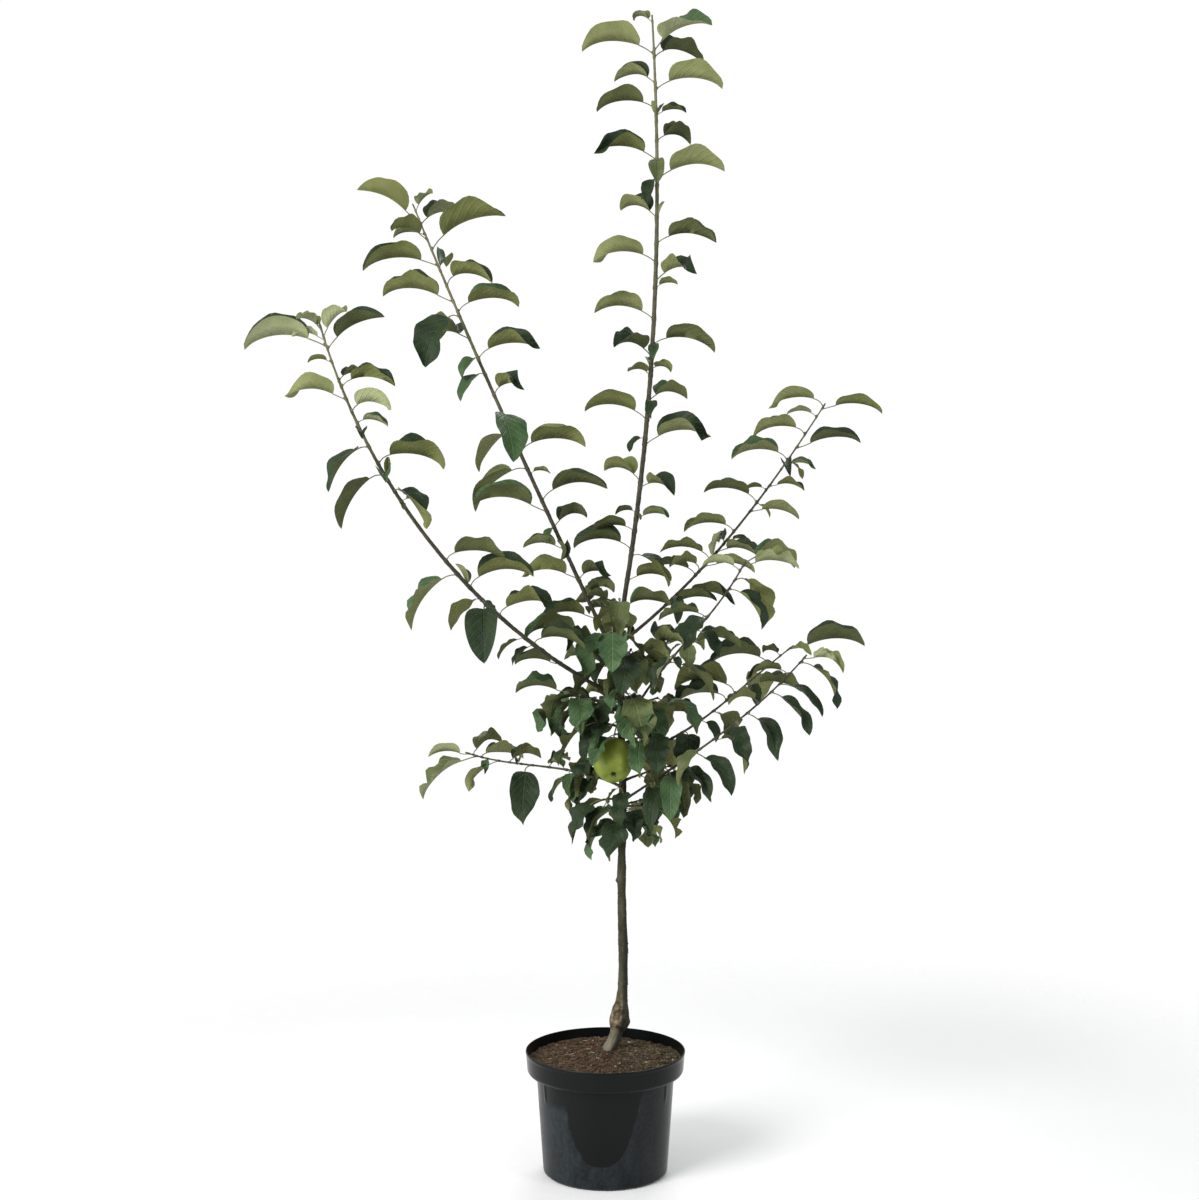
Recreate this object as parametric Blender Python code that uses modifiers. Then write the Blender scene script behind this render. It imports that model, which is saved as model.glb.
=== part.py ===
"""A young apple tree in a 7.5 litre nursery container, at its real size in metres.

The origin is the centre of the pot's flat underside, +Z is up and -Y is the front.
Every limb is a tapering tube along a curve worked out from a heading and three rises.
Every leafy shoot or spur is one solid: its stem with the leaves fused on.
"""

import math
import random
import re
from collections import namedtuple

import bmesh
import bpy
import numpy as np
from mathutils import Vector
from mathutils.bvhtree import BVHTree

GAP = 0.0003

# The pot: radii and heights of a thin moulded container with a stepped rim
RIM_RADIUS = 0.130
RIM_FOOT_RADIUS = 0.1275
BODY_TOP_RADIUS = 0.1125
BODY_FOOT_RADIUS = 0.1012
POT_HEIGHT = 0.203
RIM_DEPTH = 0.034
SHOULDER_DROP = 0.004
FOOT_CHAMFER = 0.004
WALL = 0.0018
FLOOR = 0.0025
POT_STEPS = 48
NOTCH_COUNT = 4
NOTCH_RADIUS = 0.013
NOTCH_RISE = 0.0045
NOTCH_TURN = 25
DRAIN_COUNT = 6
DRAIN_RADIUS = 0.005
DRAIN_CIRCLE = 0.058

# The soil: level round the trunk, falling a little to the wall
SOIL_TOP = 0.193
SOIL_EDGE = 0.187
SOIL_LEVEL_RADIUS = 0.055

# The trunk: a straight rootstock, the swollen graft union and a slender stem
TRUNK_FOOT = Vector((0.006, 0.035, SOIL_TOP + GAP))
FORK_HEIGHT = 0.909
ROOTSTOCK_RADIUS = 0.0102
STEM_RADIUS = 0.0084
FORK_RADIUS = 0.0048
FLARE = 0.0010
FLARE_HEIGHT = 0.008
UNION_HEIGHT = 0.048
UNION_SWELL = 0.0060
UNION_SPREAD_BELOW = 0.014
UNION_SPREAD_ABOVE = 0.030
LEAN_SHIFT = 0.0225
LEAN_HEIGHT = 0.035
SWAY = 0.0013
SWAY_PERIOD = 0.31
SWAY_CREST = 0.13
TRUNK_DRIFT = 0.0045
TRUNK_FORWARD = 0.015
TRUNK_POINTS = 28
TRUNK_BELOW = 0.012
TRUNK_NECK = 0.018

COMPASS = {"e": 0, "ne": 45, "n": 90, "nw": 135, "w": 180, "sw": 225, "s": 270, "se": 315}

# A bough: foot height on the trunk, heading, rises at foot, middle and tip, whole length,
# foot and tip radius, and the bare length before its leafy shoot starts.
# Each word of its leaves is one leaf: centimetres up the bough, compass heading (e is
# right and s is to the front) and blade length in centimetres. A capital heading is a
# blade held out and folded, a small one a blade that hangs open, and a plus lifts it.
Bough = namedtuple("Bough", "name height heading rises length foot_radius tip_radius bare leaves")
BOUGHS = [
    Bough(
        "leader", FORK_HEIGHT, 12, (79.9, 87.2, 93.6), 0.957, 0.0038, 0.0014, 0.045,
        "6E6 10e7 11W8 14W6 16E4.5 17W3 21SE7 22NW7 28E9 29w3 32W8.5 35NE7 39SW4 40SE4 42SW8"
        " 44E8.5 48W8 53E3 54SE8 57W8.5 60E8 64NW7 69w3 70E9 73W8.5 76NE7 79S5 80E4 81W8"
        " 84E9 85NW7 89NE8.5 89.5W9.5 90SE+9.5 94.5NW+4",
    ),
    Bough(
        "upper_left", 0.827, 142, (58.1, 59.4, 62.0), 0.881, 0.0033, 0.0012, 0.08,
        "9W7.5 13SE6 16SE6 16.5W7.5 21S6 22W5.5 26NE6.5 29W10 31E9.5 36E3 37w9.5 40E9.5"
        " 44nw8.5 47se9.5 51SE7 55sw6 58E9 62NW9 66sw10 67E9 69W10 72SE9 75N7.5 76W10.5"
        " 79E+11.5 81SW6.5 82W4.5 84NE+7.5 85W+9.5 86.5SE+5",
    ),
    Bough(
        "outer_left", 0.778, 213, (26.2, 47.9, 73.1), 0.824, 0.0033, 0.0011, 0.11,
        "13W6 19E7.5 21w4.5 27E8 30s9.5 31nw7 34E9 37w9.5 40E8 52E3.5 54se8 56S6.5 57w9 59E9"
        " 62sw8.5 64S4 66E4 68SE7 70W7.5 72E7 73NE4 76W3 78E+8 78.5W10 79.5W4 80SE+6"
        " 81NW+4 81.5SW+4",
    ),
    Bough(
        "upper_right", 0.868, 40, (26.9, 40.4, 47.8), 0.603, 0.0028, 0.0012, 0.09,
        "11E7 13s6 14E8 19W7 20SW6.5 21.5E7 23W7.5 25SE7.5 27N6.5 28E3.5 30W7.5 35E7 37W8"
        " 40W3.5 41E5 45S7 46E4.5 47W8.5 50E9 53W8 57W4.5 59E8.5 59.5W8.5",
    ),
    Bough(
        "middle_right", 0.712, -52, (61.0, 40.1, 53.6), 0.431, 0.0022, 0.0012, 0.16,
        "18e8 20sw6 23E7.5 24s5 27se5 30W6.5 30.5sw7 37e7 39ne9 41W5 42E7 42.5NE9.5",
    ),
    Bough(
        "lower_right", 0.609, -30, (34.2, 37.0, 48.9), 0.418, 0.0021, 0.0012, 0.045,
        "6s8 10s8 13se7 16se8 17sw7 20E4.5 25s8.5 27.5se8 30SW7 33se8 35e7 37W6 40e8 41SE7",
    ),
    Bough(
        "back_right", 0.682, 32, (4.1, 29.1, 28.8), 0.383, 0.0025, 0.0011, 0.08,
        "10n7 12s7.5 16W8.5 19ne7.5 22W8.5 24W9.5 27E7.5 30n7.5 32W9 35NW4 37SE4 37.5E10.5",
    ),
    Bough(
        "lower_left", 0.631, 160, (24.4, 3.1, 15.2), 0.282, 0.0021, 0.0012, 0.045,
        "6sw6 7s6 8w5.5 9se5.5 10NW4 13NE5 16s9.5 18S3.5 20E6 22w6 24s3 25E7 26w9.5 26.5NE7.5"
        " 27.5W5.5",
    ),
]
FINE_STEPS = 120
SEGMENT_LENGTH = 0.04
WHIP_LENGTH = 0.7
WHIP_TAPER = 2.4

# A spur: a short leafy twig on the trunk. The front ones have their leaves written out in
# the same way, and the others follow a seeded rule from their count and size.
Spur = namedtuple("Spur", "name height heading rise length leaves count size", defaults=(0, 0))
SPURS = [
    Spur("fruit", 0.722, 262, 26, 0.055, "5.2sw6.5 3.4e5"),
    Spur("front_crown", 0.897, 265, 55, 0.056, "5.4s6.5 3.2E7 4w5"),
    Spur("front_high", 0.868, 250, 34, 0.052, "5.2s8 4sw8 2.8e8"),
    Spur("front_upper", 0.838, 275, 30, 0.046, "4.5s8 3.4se6 2.4w6"),
    Spur("right_high", 0.822, 305, 15, 0.038, "3.8se8 2.6e7"),
    Spur("left_high", 0.822, 238, 18, 0.034, "1.9W8 3.3sw7"),
    Spur("left_crown", 0.850, 190, 30, 0.060, "5.6W9 4.4SW6.5 3nw7"),
    Spur("front_middle", 0.775, 275, 22, 0.052, "5.2s9 4.2sw9 3e7"),
    Spur("left_middle", 0.755, 204, 22, 0.100, "10W7 7.6s7 9nw6 5w7 3.4sw6"),
    Spur("left_fruit", 0.730, 212, 15, 0.045, "4.5w8 3.4W7 2.2sw6"),
    Spur("right_fruit", 0.702, 308, 20, 0.050, "5s7 3.6se7 2.4e6"),
    Spur("right_low", 0.642, 350, 18, 0.085, "8.5e5 7s8 5.6se8 4.2s8 2.8e7 6.4e7"),
    Spur("front_low", 0.632, 262, 8, 0.034, "3.3s6 2.4w3"),
    Spur("left_low", 0.612, 222, 5, 0.044, "4.4w7.5 3.2sw7 2.2w6"),
    Spur("right_foot", 0.600, 325, 5, 0.050, "5e6 3.6se6 2.4s6"),
    Spur("front_foot", 0.580, 275, 15, 0.034, "3.4s7 2.6w8 1.8e6"),
    Spur("back_top", 0.885, 100, 40, 0.075, "", 5, 0.072),
    Spur("right_back", 0.840, 22, 20, 0.075, "", 5, 0.074),
    Spur("back_high", 0.815, 75, 25, 0.080, "", 5, 0.074),
    Spur("left_back", 0.760, 150, 12, 0.080, "", 5, 0.074),
    Spur("back_middle", 0.742, 100, 20, 0.080, "", 5, 0.074),
    Spur("right_middle", 0.758, 358, 18, 0.065, "", 4, 0.076),
    Spur("back_low", 0.655, 80, 15, 0.075, "", 5, 0.072),
    Spur("left_rear", 0.668, 140, 10, 0.060, "", 4, 0.070),
    Spur("back_foot", 0.585, 95, 5, 0.060, "", 5, 0.070),
]
SPUR_RADII = (0.0022, 0.0012)
SPUR_SEGMENTS = 4
SPUR_FIRST_LEAF = 0.4
SPUR_SWING = 95

# The fruit hangs before the trunk from the first spur, its eye turned forward and down
FRUIT_CENTRE = Vector((0.0115, -0.026, 0.686))
FRUIT_AXIS = Vector((0.03, -0.64, -0.77)).normalized()
FRUIT_RADIUS = 0.0325
FRUIT_HALF_HEIGHT = 0.040
FRUIT_DIMPLE = 0.006
FRUIT_STEPS = 12
FRUIT_RINGS = 8
STALK_RADIUS = 0.0013

# A leaf, in shares of its blade length unless it says degrees
BLADE_WIDTH = 0.62
WIDEST = 0.42
BASE_POWER = 0.50
TIP_POWER = 0.85
PETIOLE_LENGTH = 0.30
MIDRIB = 0.020
PETIOLE_RADIUS = 0.0008
HELD = {"pitch": (21, -35), "fold": 54}
HANGING = {"pitch": (-30, -78), "fold": 24}
LIFTED = {"pitch": (46, 2), "fold": 42}
PITCH_SPREAD = 10
FOLD_SPREAD = 10
ROLL_SPREAD = 16
TWIST_SPREAD = 26
BEND_SPREAD = 22
BLADE_STATIONS = (0.21, 0.62)
STRAIGHT_SIDES = 1.12
MIDRIB_STEPS = 24
TURNS = (0, 28, -28, 56, -56, 84, -84)
SHARPEST_STALK = -0.25

Leaf = namedtuple("Leaf", "root tangent heading length pitch fold roll twist bend")


def clear_scene():
    for old in list(bpy.data.objects):
        bpy.data.objects.remove(old)


def material(name, colour, roughness, metallic=0.0):
    made = bpy.data.materials.new(name)
    made.use_nodes = True
    shader = made.node_tree.nodes["Principled BSDF"]
    shader.inputs["Base Color"].default_value = (*colour, 1.0)
    shader.inputs["Roughness"].default_value = roughness
    shader.inputs["Metallic"].default_value = metallic
    return made


def add_mesh(name, points, faces, finish, collection):
    """A mesh object of the given points and faces."""
    mesh = bpy.data.meshes.new(name)
    mesh.from_pydata([tuple(p) for p in points], [], faces)
    mesh.materials.append(finish)
    made = bpy.data.objects.new(name, mesh)
    collection.objects.link(made)
    return made


def tube(name, points, radii, finish, resolution):
    """A tapering limb: a bevelled curve through the points, made a mesh with welded caps."""
    curve = bpy.data.curves.new(name, "CURVE")
    curve.dimensions = "3D"
    curve.bevel_depth = 1.0
    curve.bevel_resolution = resolution
    curve.use_fill_caps = True
    spline = curve.splines.new("POLY")
    spline.points.add(len(points) - 1)
    for control, point, radius in zip(spline.points, points, radii):
        control.co = (*point, 1.0)
        control.radius = radius
    guide = bpy.data.objects.new(name, curve)
    tree.objects.link(guide)
    graph = bpy.context.evaluated_depsgraph_get()
    mesh = bpy.data.meshes.new_from_object(guide.evaluated_get(graph))
    bpy.data.objects.remove(guide)
    shape = bmesh.new()
    shape.from_mesh(mesh)
    bmesh.ops.remove_doubles(shape, verts=shape.verts, dist=1e-6)
    shape.to_mesh(mesh)
    shape.free()
    mesh.materials.clear()
    mesh.materials.append(finish)
    made = bpy.data.objects.new(name, mesh)
    tree.objects.link(made)
    return made


def turned(name, profile, steps, finish):
    """A turned solid: a profile in X and Z, spun round Z by a Screw modifier."""
    count = len(profile)
    edges = [(i, i + 1) for i in range(count - 1)]
    mesh = bpy.data.meshes.new(name)
    mesh.from_pydata([(x, 0, z) for x, z in profile], edges, [])
    mesh.materials.append(finish)
    made = bpy.data.objects.new(name, mesh)
    tree.objects.link(made)
    screw = made.modifiers.new("spin", "SCREW")
    screw.axis = "Z"
    screw.steps = steps
    screw.render_steps = steps
    screw.use_merge_vertices = True
    screw.merge_threshold = 1e-5
    screw.use_smooth_shade = False
    return made


def apply_modifiers(made):
    """Keeps an object's evaluated shape as its mesh, with no modifier left on it."""
    bpy.context.view_layer.update()
    graph = bpy.context.evaluated_depsgraph_get()
    made.data = bpy.data.meshes.new_from_object(made.evaluated_get(graph))
    made.modifiers.clear()


def new_pieces(name):
    """An empty collection for the pieces that a mass is joined from."""
    pieces = bpy.data.collections.new(name)
    bpy.context.scene.collection.children.link(pieces)
    return pieces


def cut(made, cutter):
    """Takes a cutter's shape away from a mesh object."""
    boolean = made.modifiers.new("cut", "BOOLEAN")
    boolean.operation = "DIFFERENCE"
    boolean.solver = "EXACT"
    boolean.object = cutter
    apply_modifiers(made)


def fuse(made, pieces):
    """Joins a collection of pieces onto a stem in one union, then removes them."""
    boolean = made.modifiers.new("fuse", "BOOLEAN")
    boolean.operation = "UNION"
    boolean.solver = "MANIFOLD"
    boolean.operand_type = "COLLECTION"
    boolean.collection = pieces
    apply_modifiers(made)
    for piece in list(pieces.objects):
        bpy.data.objects.remove(piece)
    bpy.data.collections.remove(pieces)


def smoothstep(share):
    share = min(max(share, 0.0), 1.0)
    return share * share * (3 - 2 * share)


def trunk_centre(rise):
    """The trunk's centre at a height above the soil: it leans right, then sways."""
    share = rise / (FORK_HEIGHT - TRUNK_FOOT.z)
    lean = LEAN_SHIFT * (1 - math.exp(-max(rise, 0) / LEAN_HEIGHT))
    sway = SWAY * math.cos(2 * math.pi * (rise - SWAY_CREST) / SWAY_PERIOD)
    grown = smoothstep(rise / SWAY_CREST)
    return TRUNK_FOOT + Vector(
        (
            lean + sway * grown - TRUNK_DRIFT * share * share,
            -TRUNK_FORWARD * share,
            rise,
        )
    )


def trunk_radius(rise):
    """The trunk's radius: flare at the soil, rootstock, union swelling and taper to the fork."""
    share = rise / (FORK_HEIGHT - TRUNK_FOOT.z)
    slender = STEM_RADIUS + (FORK_RADIUS - STEM_RADIUS) * share
    stock = (ROOTSTOCK_RADIUS - STEM_RADIUS) * (1 - smoothstep((rise - 0.04) / 0.05))
    away = rise - UNION_HEIGHT
    spread = UNION_SPREAD_BELOW if away < 0 else UNION_SPREAD_ABOVE
    swell = UNION_SWELL * math.exp(-((away / spread) ** 2))
    return slender + stock + swell + FLARE * math.exp(-max(rise, 0) / FLARE_HEIGHT)


def on_trunk(height):
    """The trunk's centre and radius at a height above the floor."""
    rise = height - TRUNK_FOOT.z
    return trunk_centre(rise), trunk_radius(rise)


def direction(heading, pitch):
    """The unit vector of a compass heading and a rise above level, both in degrees."""
    turn, rise = math.radians(heading), math.radians(pitch)
    level = math.cos(rise)
    return Vector((level * math.cos(turn), level * math.sin(turn), math.sin(rise)))


def bough_rise(bough, share):
    """A parabola through the rises at the foot, middle and tip."""
    foot, middle, tip = bough.rises
    return (
        foot * (1 - share) * (1 - 2 * share)
        + middle * 4 * share * (1 - share)
        + tip * share * (2 * share - 1)
    )


def bough_path(bough):
    """Points at even small steps along a whole bough, from the trunk's centre to its tip."""
    points = [on_trunk(bough.height)[0]]
    step = bough.length / FINE_STEPS
    for i in range(FINE_STEPS):
        rise = bough_rise(bough, (i + 0.5) / FINE_STEPS)
        points.append(points[-1] + direction(bough.heading, rise) * step)
    return points


def bough_radius(bough, share):
    """An even taper, but a long whip keeps its thickness until near the tip."""
    power = WHIP_TAPER if bough.length > WHIP_LENGTH else 1
    return bough.foot_radius + (bough.tip_radius - bough.foot_radius) * share ** power


def along(points, share):
    """The point and the unit tangent at a share of a path's even segments."""
    place = min(share, 0.9999) * (len(points) - 1)
    i = int(place)
    span = points[i + 1] - points[i]
    return points[i] + span * (place - i), span.normalized()


def split_bough(bough, path):
    """The bare limb and the leafy stem, each as points and radii, parted by a gap."""
    parting = bough.bare / bough.length
    end, ahead = along(path, parting)
    runs = []
    for first, last in ((0.0, parting), (parting, 1.0)):
        count = max(2, round((last - first) * bough.length / SEGMENT_LENGTH))
        shares = [first + (last - first) * i / count for i in range(count + 1)]
        points = [along(path, share)[0] for share in shares]
        runs.append((points, [bough_radius(bough, share) for share in shares]))
    runs[0][0][-1] = end - ahead * GAP / 2
    runs[1][0][0] = end + ahead * GAP / 2
    return runs


def new_leaf(seed, root, tangent, heading, length, habit):
    """A leaf with its seeded spread of pitch, fold, roll, twist and bend."""
    draw = random.Random(seed)
    lift = draw.uniform(-PITCH_SPREAD, PITCH_SPREAD)
    pitch = tuple(p + lift for p in habit["pitch"])
    fold = habit["fold"] + draw.uniform(-FOLD_SPREAD, FOLD_SPREAD)
    roll = draw.uniform(-ROLL_SPREAD, ROLL_SPREAD)
    twist = draw.uniform(-TWIST_SPREAD, TWIST_SPREAD)
    bend = draw.uniform(-BEND_SPREAD, BEND_SPREAD)
    return Leaf(root, tangent, heading, length, pitch, fold, roll, twist, bend)


def petiole(leaf):
    """The leaf stalk's root, its end and the unit directions there."""
    facing = direction(leaf.heading, 0)
    outward = (facing - leaf.tangent * facing.dot(leaf.tangent)).normalized()
    start = (outward + leaf.tangent).normalized()
    finish = direction(leaf.heading, leaf.pitch[0])
    end = leaf.root + (start + finish) * (PETIOLE_LENGTH * leaf.length / 2)
    return start, finish, end


def half_width(share):
    """Half the blade's width, as a share of the widest: rounded at the base, drawn to the tip."""
    rising = (share / WIDEST) ** BASE_POWER
    falling = ((1 - share) / (1 - WIDEST)) ** TIP_POWER
    return rising * falling


def midrib(leaf):
    """Points, tangents, across vectors and normals along the arched and twisted midrib."""
    _, _, point = petiole(leaf)
    frames = []
    for i in range(MIDRIB_STEPS + 1):
        share = i / MIDRIB_STEPS
        heading = leaf.heading + leaf.bend * share
        pitch = leaf.pitch[0] + (leaf.pitch[1] - leaf.pitch[0]) * share
        ahead = direction(heading, pitch)
        level = direction(heading - 90, 0)
        normal = level.cross(ahead)
        turn = math.radians(leaf.roll + leaf.twist * share)
        across = level * math.cos(turn) + normal * math.sin(turn)
        frames.append((point, across, across.cross(ahead)))
        point = point + ahead * (leaf.length / MIDRIB_STEPS)
    return frames


def leaf_faces():
    """A leaf's faces: rings of right, left, bottom on the stalk, then right, top, left, bottom."""
    faces = [(0, 1, 2)]
    for a, b in ((0, 1), (1, 2), (2, 0)):
        faces += [(b, a, a + 3), (b, a + 3, b + 3)]
    right, left, bottom = 3, 4, 5
    faces += [(left, right, 7), (right, 6, 7), (left, 7, 8)]
    faces += [(bottom, left, 8), (bottom, 8, 9), (right, bottom, 6), (bottom, 9, 6)]
    for ring in range(len(BLADE_STATIONS) - 1):
        right, top, left, bottom = range(6 + 4 * ring, 10 + 4 * ring)
        for rib, side in ((top, right), (bottom, left)):
            faces += [(rib, side, side + 4), (rib, side + 4, rib + 4)]
        for rib, side in ((top, left), (bottom, right)):
            faces += [(side, rib, side + 4), (rib, rib + 4, side + 4)]
    last = 6 + 4 * (len(BLADE_STATIONS) - 1)
    faces += [(last + (side + 1) % 4, last + side, last + 4) for side in range(4)]
    return faces


def leaf_mesh(leaf):
    """A closed leaf: a three-sided stalk, then a folded blade of four-sided rings to its tip."""
    start, _, end = petiole(leaf)
    frames = midrib(leaf)
    across = frames[0][1]
    upright = across.cross(start).normalized()
    beside = start.cross(upright).normalized()
    points = []
    for centre, side, up in ((leaf.root, beside, upright), (end, across, frames[0][2])):
        side, up = side * PETIOLE_RADIUS, up * PETIOLE_RADIUS
        points += [centre + side + up / 2, centre - side + up / 2, centre - up]
    fold = math.radians(leaf.fold)
    thick = MIDRIB / 2 * leaf.length
    for share in BLADE_STATIONS:
        centre, across, normal = frames[round(share * MIDRIB_STEPS)]
        reach = BLADE_WIDTH / 2 * leaf.length * half_width(share) * STRAIGHT_SIDES
        side = across * (reach * math.cos(fold))
        raised = centre + normal * (reach * math.sin(fold))
        points += [raised + side, centre + normal * thick, raised - side, centre - normal * thick]
    points.append(frames[-1][0])
    return points, leaf_faces()


def remember(owner, points, faces):
    """Keeps a placed shape, so that later leaves of other masses stay clear of it."""
    flat = np.array(points)
    shape = BVHTree.FromPolygons([tuple(p) for p in points], faces)
    placed.append((owner, shape, flat.min(axis=0), flat.max(axis=0)))


def remember_object(owner, made):
    points = [v.co.copy() for v in made.data.vertices]
    remember(owner, points, [tuple(f.vertices) for f in made.data.polygons])


def is_free(owner, points, faces):
    """Whether a shape touches no limb and nothing of another mass."""
    flat = np.array(points)
    low, high = flat.min(axis=0) - GAP, flat.max(axis=0) + GAP
    shape = None
    for other, known, known_low, known_high in placed:
        if other == owner or (known_high < low).any() or (known_low > high).any():
            continue
        shape = shape or BVHTree.FromPolygons([tuple(p) for p in points], faces)
        if shape.overlap(known):
            return False
    return True


def place_leaf(owner, leaf, pieces):
    """Adds a leaf where it is free, turned a little if need be, or skips it."""
    for turn in TURNS:
        tried = leaf._replace(heading=leaf.heading + turn)
        start, finish, _ = petiole(tried)
        points, faces = leaf_mesh(tried)
        if start.dot(finish) > SHARPEST_STALK and is_free(owner, points, faces):
            remember(owner, points, faces)
            add_mesh(f"{owner}_leaf", points, faces, leaf_green, pieces)
            return


def written_leaves(limb, points):
    """The leaves of a bough's or spur's written run."""
    for word in limb.leaves.split():
        found = re.fullmatch(r"([\d.]+)([A-Za-z]+)(\+?)([\d.]+)", word)
        place, letters, lift, size = found.groups()
        root, tangent = along(points, float(place) / 100 / limb.length)
        habit = LIFTED if lift else HELD if letters.isupper() else HANGING
        heading = COMPASS[letters.lower()]
        yield new_leaf(f"{limb.name} {word}", root, tangent, heading, float(size) / 100, habit)


def seeded_leaves(spur, points):
    """Leaves that swing from side to side along a spur, by a seeded rule."""
    draw = random.Random(spur.name)
    side = draw.choice((-1, 1))
    for i in range(spur.count):
        share = SPUR_FIRST_LEAF + (0.97 - SPUR_FIRST_LEAF) * i / (spur.count - 1)
        root, tangent = along(points, share)
        swing = 0 if i == spur.count - 1 else side * draw.uniform(0.35, 1.0) * SPUR_SWING
        side = -side
        length = spur.size * draw.uniform(0.78, 1.12)
        habit = HELD if draw.random() < (spur.height - 0.55) / 0.6 else HANGING
        yield new_leaf(f"{spur.name} {i}", root, tangent, spur.heading + swing, length, habit)


def spur_path(spur):
    """Points along a spur from the trunk's centre, bending down a little to its tip."""
    step = spur.length / SPUR_SEGMENTS
    points = [on_trunk(spur.height)[0]]
    for i in range(SPUR_SEGMENTS):
        pitch = spur.rise + 10 * (0.5 - i / SPUR_SEGMENTS)
        points.append(points[-1] + direction(spur.heading, pitch) * step)
    return points


def spur_stem(name, spur):
    """A spur's path and its stem, which runs out from the trunk's centre."""
    points = spur_path(spur)
    foot, tip = SPUR_RADII
    radii = [foot + (tip - foot) * i / SPUR_SEGMENTS for i in range(SPUR_SEGMENTS + 1)]
    stem = tube(name, points, radii, leaf_green, 0)
    remember_object(name, stem)
    cut(stem, trunk_cutter)
    return points, stem


def fruit_profile():
    """Half an apple's outline round its own axis, stalk dimple to eye, in radius and height."""
    outline = []
    for i in range(FRUIT_RINGS + 1):
        turn = math.pi * i / FRUIT_RINGS
        dimple = FRUIT_DIMPLE * (math.cos(turn) ** 8)
        radius = FRUIT_RADIUS * math.sin(turn) * (1 + 0.06 * math.cos(turn))
        height = math.copysign(FRUIT_HALF_HEIGHT * abs(math.cos(turn)) - dimple, math.cos(turn))
        outline.append((max(radius, 0.0) if 0 < i < FRUIT_RINGS else 0.0, height))
    return outline


def fruit_on(owner, stem_points, pieces):
    """The apple and its stalk, which runs from the spur's tip into the dimple."""
    apple = turned("apple", fruit_profile(), FRUIT_STEPS, apple_green)
    apply_modifiers(apple)
    axis = -FRUIT_AXIS
    turn = axis.to_track_quat("Z", "Y").to_matrix().to_4x4()
    turn.translation = FRUIT_CENTRE
    apple.data.transform(turn)
    dimple = FRUIT_CENTRE + axis * (FRUIT_HALF_HEIGHT - 2 * FRUIT_DIMPLE)
    hold = along(stem_points, 0.9)[0]
    arch = (hold + dimple) / 2 + Vector((0, 0, 0.006))
    stalk = tube("stalk", [hold, arch, dimple], [STALK_RADIUS] * 3, leaf_green, 0)
    for piece in (apple, stalk):
        tree.objects.unlink(piece)
        pieces.objects.link(piece)
        remember_object(owner, piece)


def make_trunk():
    """The trunk, cut flat at the soil, and the slightly larger shape that its boughs are cut by."""
    top = FORK_HEIGHT - TRUNK_FOOT.z
    span = top - TRUNK_NECK + TRUNK_BELOW
    shares = [(i / (TRUNK_POINTS - 1)) ** 1.25 for i in range(TRUNK_POINTS)]
    rises = [span * share - TRUNK_BELOW for share in shares]
    points = [trunk_centre(rise) for rise in rises]
    leader = BOUGHS[0]
    fork = trunk_centre(top)
    points += [fork - direction(leader.heading, leader.rises[0]) * TRUNK_NECK / 3, fork]
    radii = [trunk_radius(rise) for rise in rises + [top - TRUNK_NECK / 3, top]]
    trunk = tube("trunk", points, radii, bark, 4)
    remember_object("trunk", trunk)
    shape = bmesh.new()
    shape.from_mesh(trunk.data)
    geometry = shape.verts[:] + shape.edges[:] + shape.faces[:]
    bmesh.ops.bisect_plane(
        shape, geom=geometry, plane_co=TRUNK_FOOT, plane_no=(0, 0, 1), clear_inner=True
    )
    rim = [edge for edge in shape.edges if edge.is_boundary]
    bmesh.ops.edgeloop_fill(shape, edges=rim)
    bmesh.ops.recalc_face_normals(shape, faces=shape.faces)
    shape.to_mesh(trunk.data)
    shape.free()
    cutter = tube("trunk_cutter", points, [r + GAP for r in radii], bark, 4)
    tree.objects.unlink(cutter)
    cutters.objects.link(cutter)
    cutter.display_type = "WIRE"
    cutter.hide_render = True
    return trunk, cutter


def pot_profile():
    """The shell from the floor's centre, up inside, over the rim and down outside."""
    shoulder = POT_HEIGHT - RIM_DEPTH
    lean = (BODY_TOP_RADIUS - BODY_FOOT_RADIUS) / shoulder
    inside_foot = BODY_FOOT_RADIUS - WALL + lean * FLOOR
    return [
        (0.0, FLOOR),
        (inside_foot - FOOT_CHAMFER, FLOOR),
        (inside_foot, FLOOR + FOOT_CHAMFER),
        (BODY_TOP_RADIUS - WALL, shoulder),
        (RIM_FOOT_RADIUS - 2 * WALL, shoulder + WALL),
        (RIM_FOOT_RADIUS - WALL, shoulder + 2 * WALL),
        (RIM_RADIUS - WALL, POT_HEIGHT - WALL / 2),
        (RIM_RADIUS - WALL / 2, POT_HEIGHT),
        (RIM_RADIUS, POT_HEIGHT - WALL / 2),
        (RIM_FOOT_RADIUS, shoulder + SHOULDER_DROP / 2),
        (RIM_FOOT_RADIUS - SHOULDER_DROP, shoulder - SHOULDER_DROP / 2),
        (BODY_TOP_RADIUS, shoulder - WALL),
        (BODY_FOOT_RADIUS + lean * FOOT_CHAMFER, FOOT_CHAMFER),
        (BODY_FOOT_RADIUS - FOOT_CHAMFER, 0.0),
        (0.0, 0.0),
    ]


def rod_cutter(name, radius, length, place, heading=None):
    """A cylinder that cuts a hole: upright, or level along a heading."""
    bpy.ops.mesh.primitive_cylinder_add(vertices=12, radius=radius, depth=length, location=place)
    rod = bpy.context.object
    rod.name = name
    if heading is not None:
        rod.rotation_euler = (math.pi / 2, 0, math.radians(heading) - math.pi / 2)
    for home in list(rod.users_collection):
        home.objects.unlink(rod)
    cutters.objects.link(rod)
    rod.display_type = "WIRE"
    rod.hide_render = True
    return rod


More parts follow.
